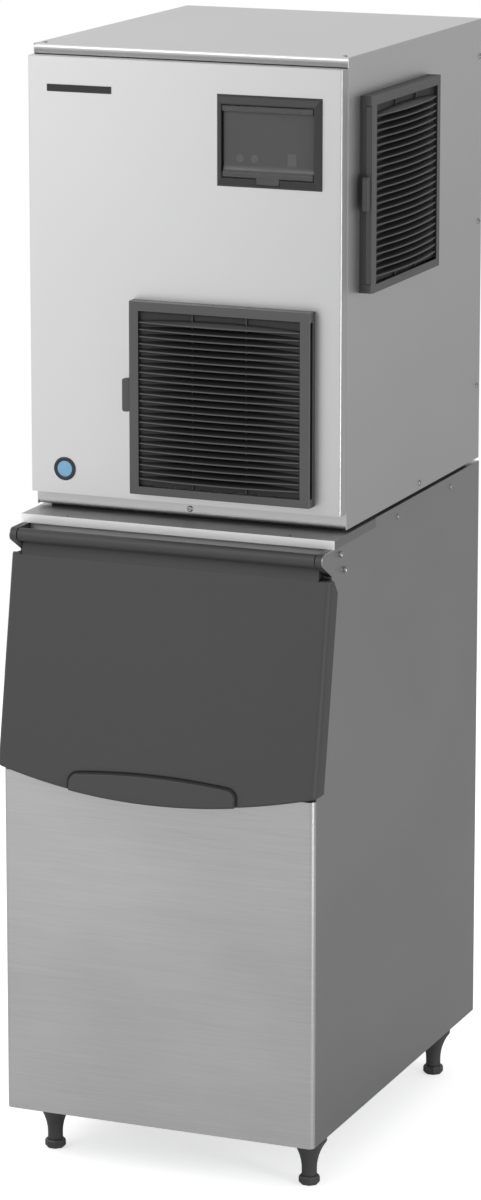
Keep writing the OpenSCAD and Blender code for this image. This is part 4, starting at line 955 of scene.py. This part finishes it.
floor_mesh = bpy.data.meshes.new("floor")
work = bmesh.new()
bmesh.ops.create_circle(work, cap_ends=True, segments=FLOOR_STEPS, radius=FLOOR_R)
work.to_mesh(floor_mesh)
work.free()
floor = bpy.data.objects.new("floor", floor_mesh)
floor.location = (0, 0, FLOOR_Z)
scene.collection.objects.link(floor)
floor_look = bpy.data.materials.new("floor_white")
floor_look.use_nodes = True
t = Tree(floor_look.node_tree)
path = t.add("ShaderNodeLightPath")
paint = t.add("ShaderNodeBsdfDiffuse", {"Color": FLOOR_PAINT})
lift = t.add("ShaderNodeEmission", {"Color": WHITE})
t.join(t.maths("MULTIPLY", path.outputs["Is Camera Ray"], FLOOR_LIFT), lift.inputs["Strength"])
total = t.add("ShaderNodeAddShader")
t.join(paint.outputs[0], total.inputs[0])
t.join(lift.outputs[0], total.inputs[1])
t.join(total.outputs[0], t.add("ShaderNodeOutputMaterial").inputs["Surface"])
floor_mesh.materials.append(floor_look)


# World: white to the camera; mirrored, a studio bright to the left and dimmer to the right

# The studio's tone runs along this direction, from its left end to its right end
STUDIO_WAY = (0.9, 0.3, 0.0)
STUDIO_LEFT = (0.32, WHITE)
STUDIO_MIDDLE = (0.47, (0.8, 0.8, 0.8, 1.0))
STUDIO_RIGHT = (0.82, (0.46, 0.46, 0.46, 1.0))
SOFT_LIGHT = 0.7


def either(t, share, first, second):
    """Two shaders mixed by a share of the second."""
    node = t.add("ShaderNodeMixShader")
    for source, target in zip((share, first.outputs[0], second.outputs[0]), node.inputs):
        t.join(source, target)
    return node


world = bpy.data.worlds.new("studio")
world.use_nodes = True
scene.world = world
t = Tree(world.node_tree)
path = t.add("ShaderNodeLightPath")
along = t.add("ShaderNodeVectorMath", {1: STUDIO_WAY}, operation="DOT_PRODUCT")
t.join(t.add("ShaderNodeTexCoord").outputs["Generated"], along.inputs[0])
ramp = t.add("ShaderNodeValToRGB")
stops = ramp.color_ramp.elements
stops[0].position, stops[0].color = STUDIO_LEFT
stops[1].position, stops[1].color = STUDIO_RIGHT
stops.new(STUDIO_MIDDLE[0]).color = STUDIO_MIDDLE[1]
t.join(t.spread(along.outputs["Value"], 0.0, 1.0, -1.0, 1.0), ramp.inputs["Fac"])
soft = t.add("ShaderNodeBackground", {"Color": WHITE, "Strength": SOFT_LIGHT})
studio = t.add("ShaderNodeBackground", {"Strength": 1.0})
t.join(ramp.outputs["Color"], studio.inputs["Color"])
white = t.add("ShaderNodeBackground", {"Color": WHITE, "Strength": 1.0})
mirrored = t.maths("MAXIMUM", path.outputs["Is Glossy Ray"], path.outputs["Is Transmission Ray"])
lit = either(t, mirrored, soft, studio)
shown = either(t, path.outputs["Is Camera Ray"], lit, white)
t.join(shown.outputs[0], t.add("ShaderNodeOutputWorld").inputs["Surface"])


# Lamps and camera, in metres


def area_light(name, place, aim, width, height, power):
    data = bpy.data.lights.new(name, "AREA")
    data.shape = "ELLIPSE"
    data.size = width
    data.size_y = height
    data.energy = power
    lamp = bpy.data.objects.new(name, data)
    lamp.location = place
    lamp.rotation_mode = "QUATERNION"
    lamp.rotation_quaternion = (Vector(aim) - Vector(place)).to_track_quat("-Z", "Y")
    scene.collection.objects.link(lamp)


# The key is high on the left; the bend is a low one on the right, for the front corner's edge
area_light("key", (-2.6, -4.2, 4.2), (0, 0, 1.0), width=3.0, height=3.0, power=90.0)
area_light("bend", (3.4, -1.35, 0.7), (0.28, -0.3, 0.5), width=0.9, height=2.2, power=40.0)

SENSOR = 36.0
LENS = 137.50
SHIFT_Y = -0.1
TILT = 11.8494
YAW = 22.4233
CAMERA_AT = (2.91846, -7.125258, 2.75612)
camera_data = bpy.data.cameras.new("camera")
camera_data.sensor_width = SENSOR
camera_data.lens = LENS
camera_data.shift_y = SHIFT_Y
camera = bpy.data.objects.new("camera", camera_data)
camera.location = CAMERA_AT
camera.rotation_euler = (math.radians(90 - TILT), 0, math.radians(YAW))
scene.collection.objects.link(camera)
scene.camera = camera
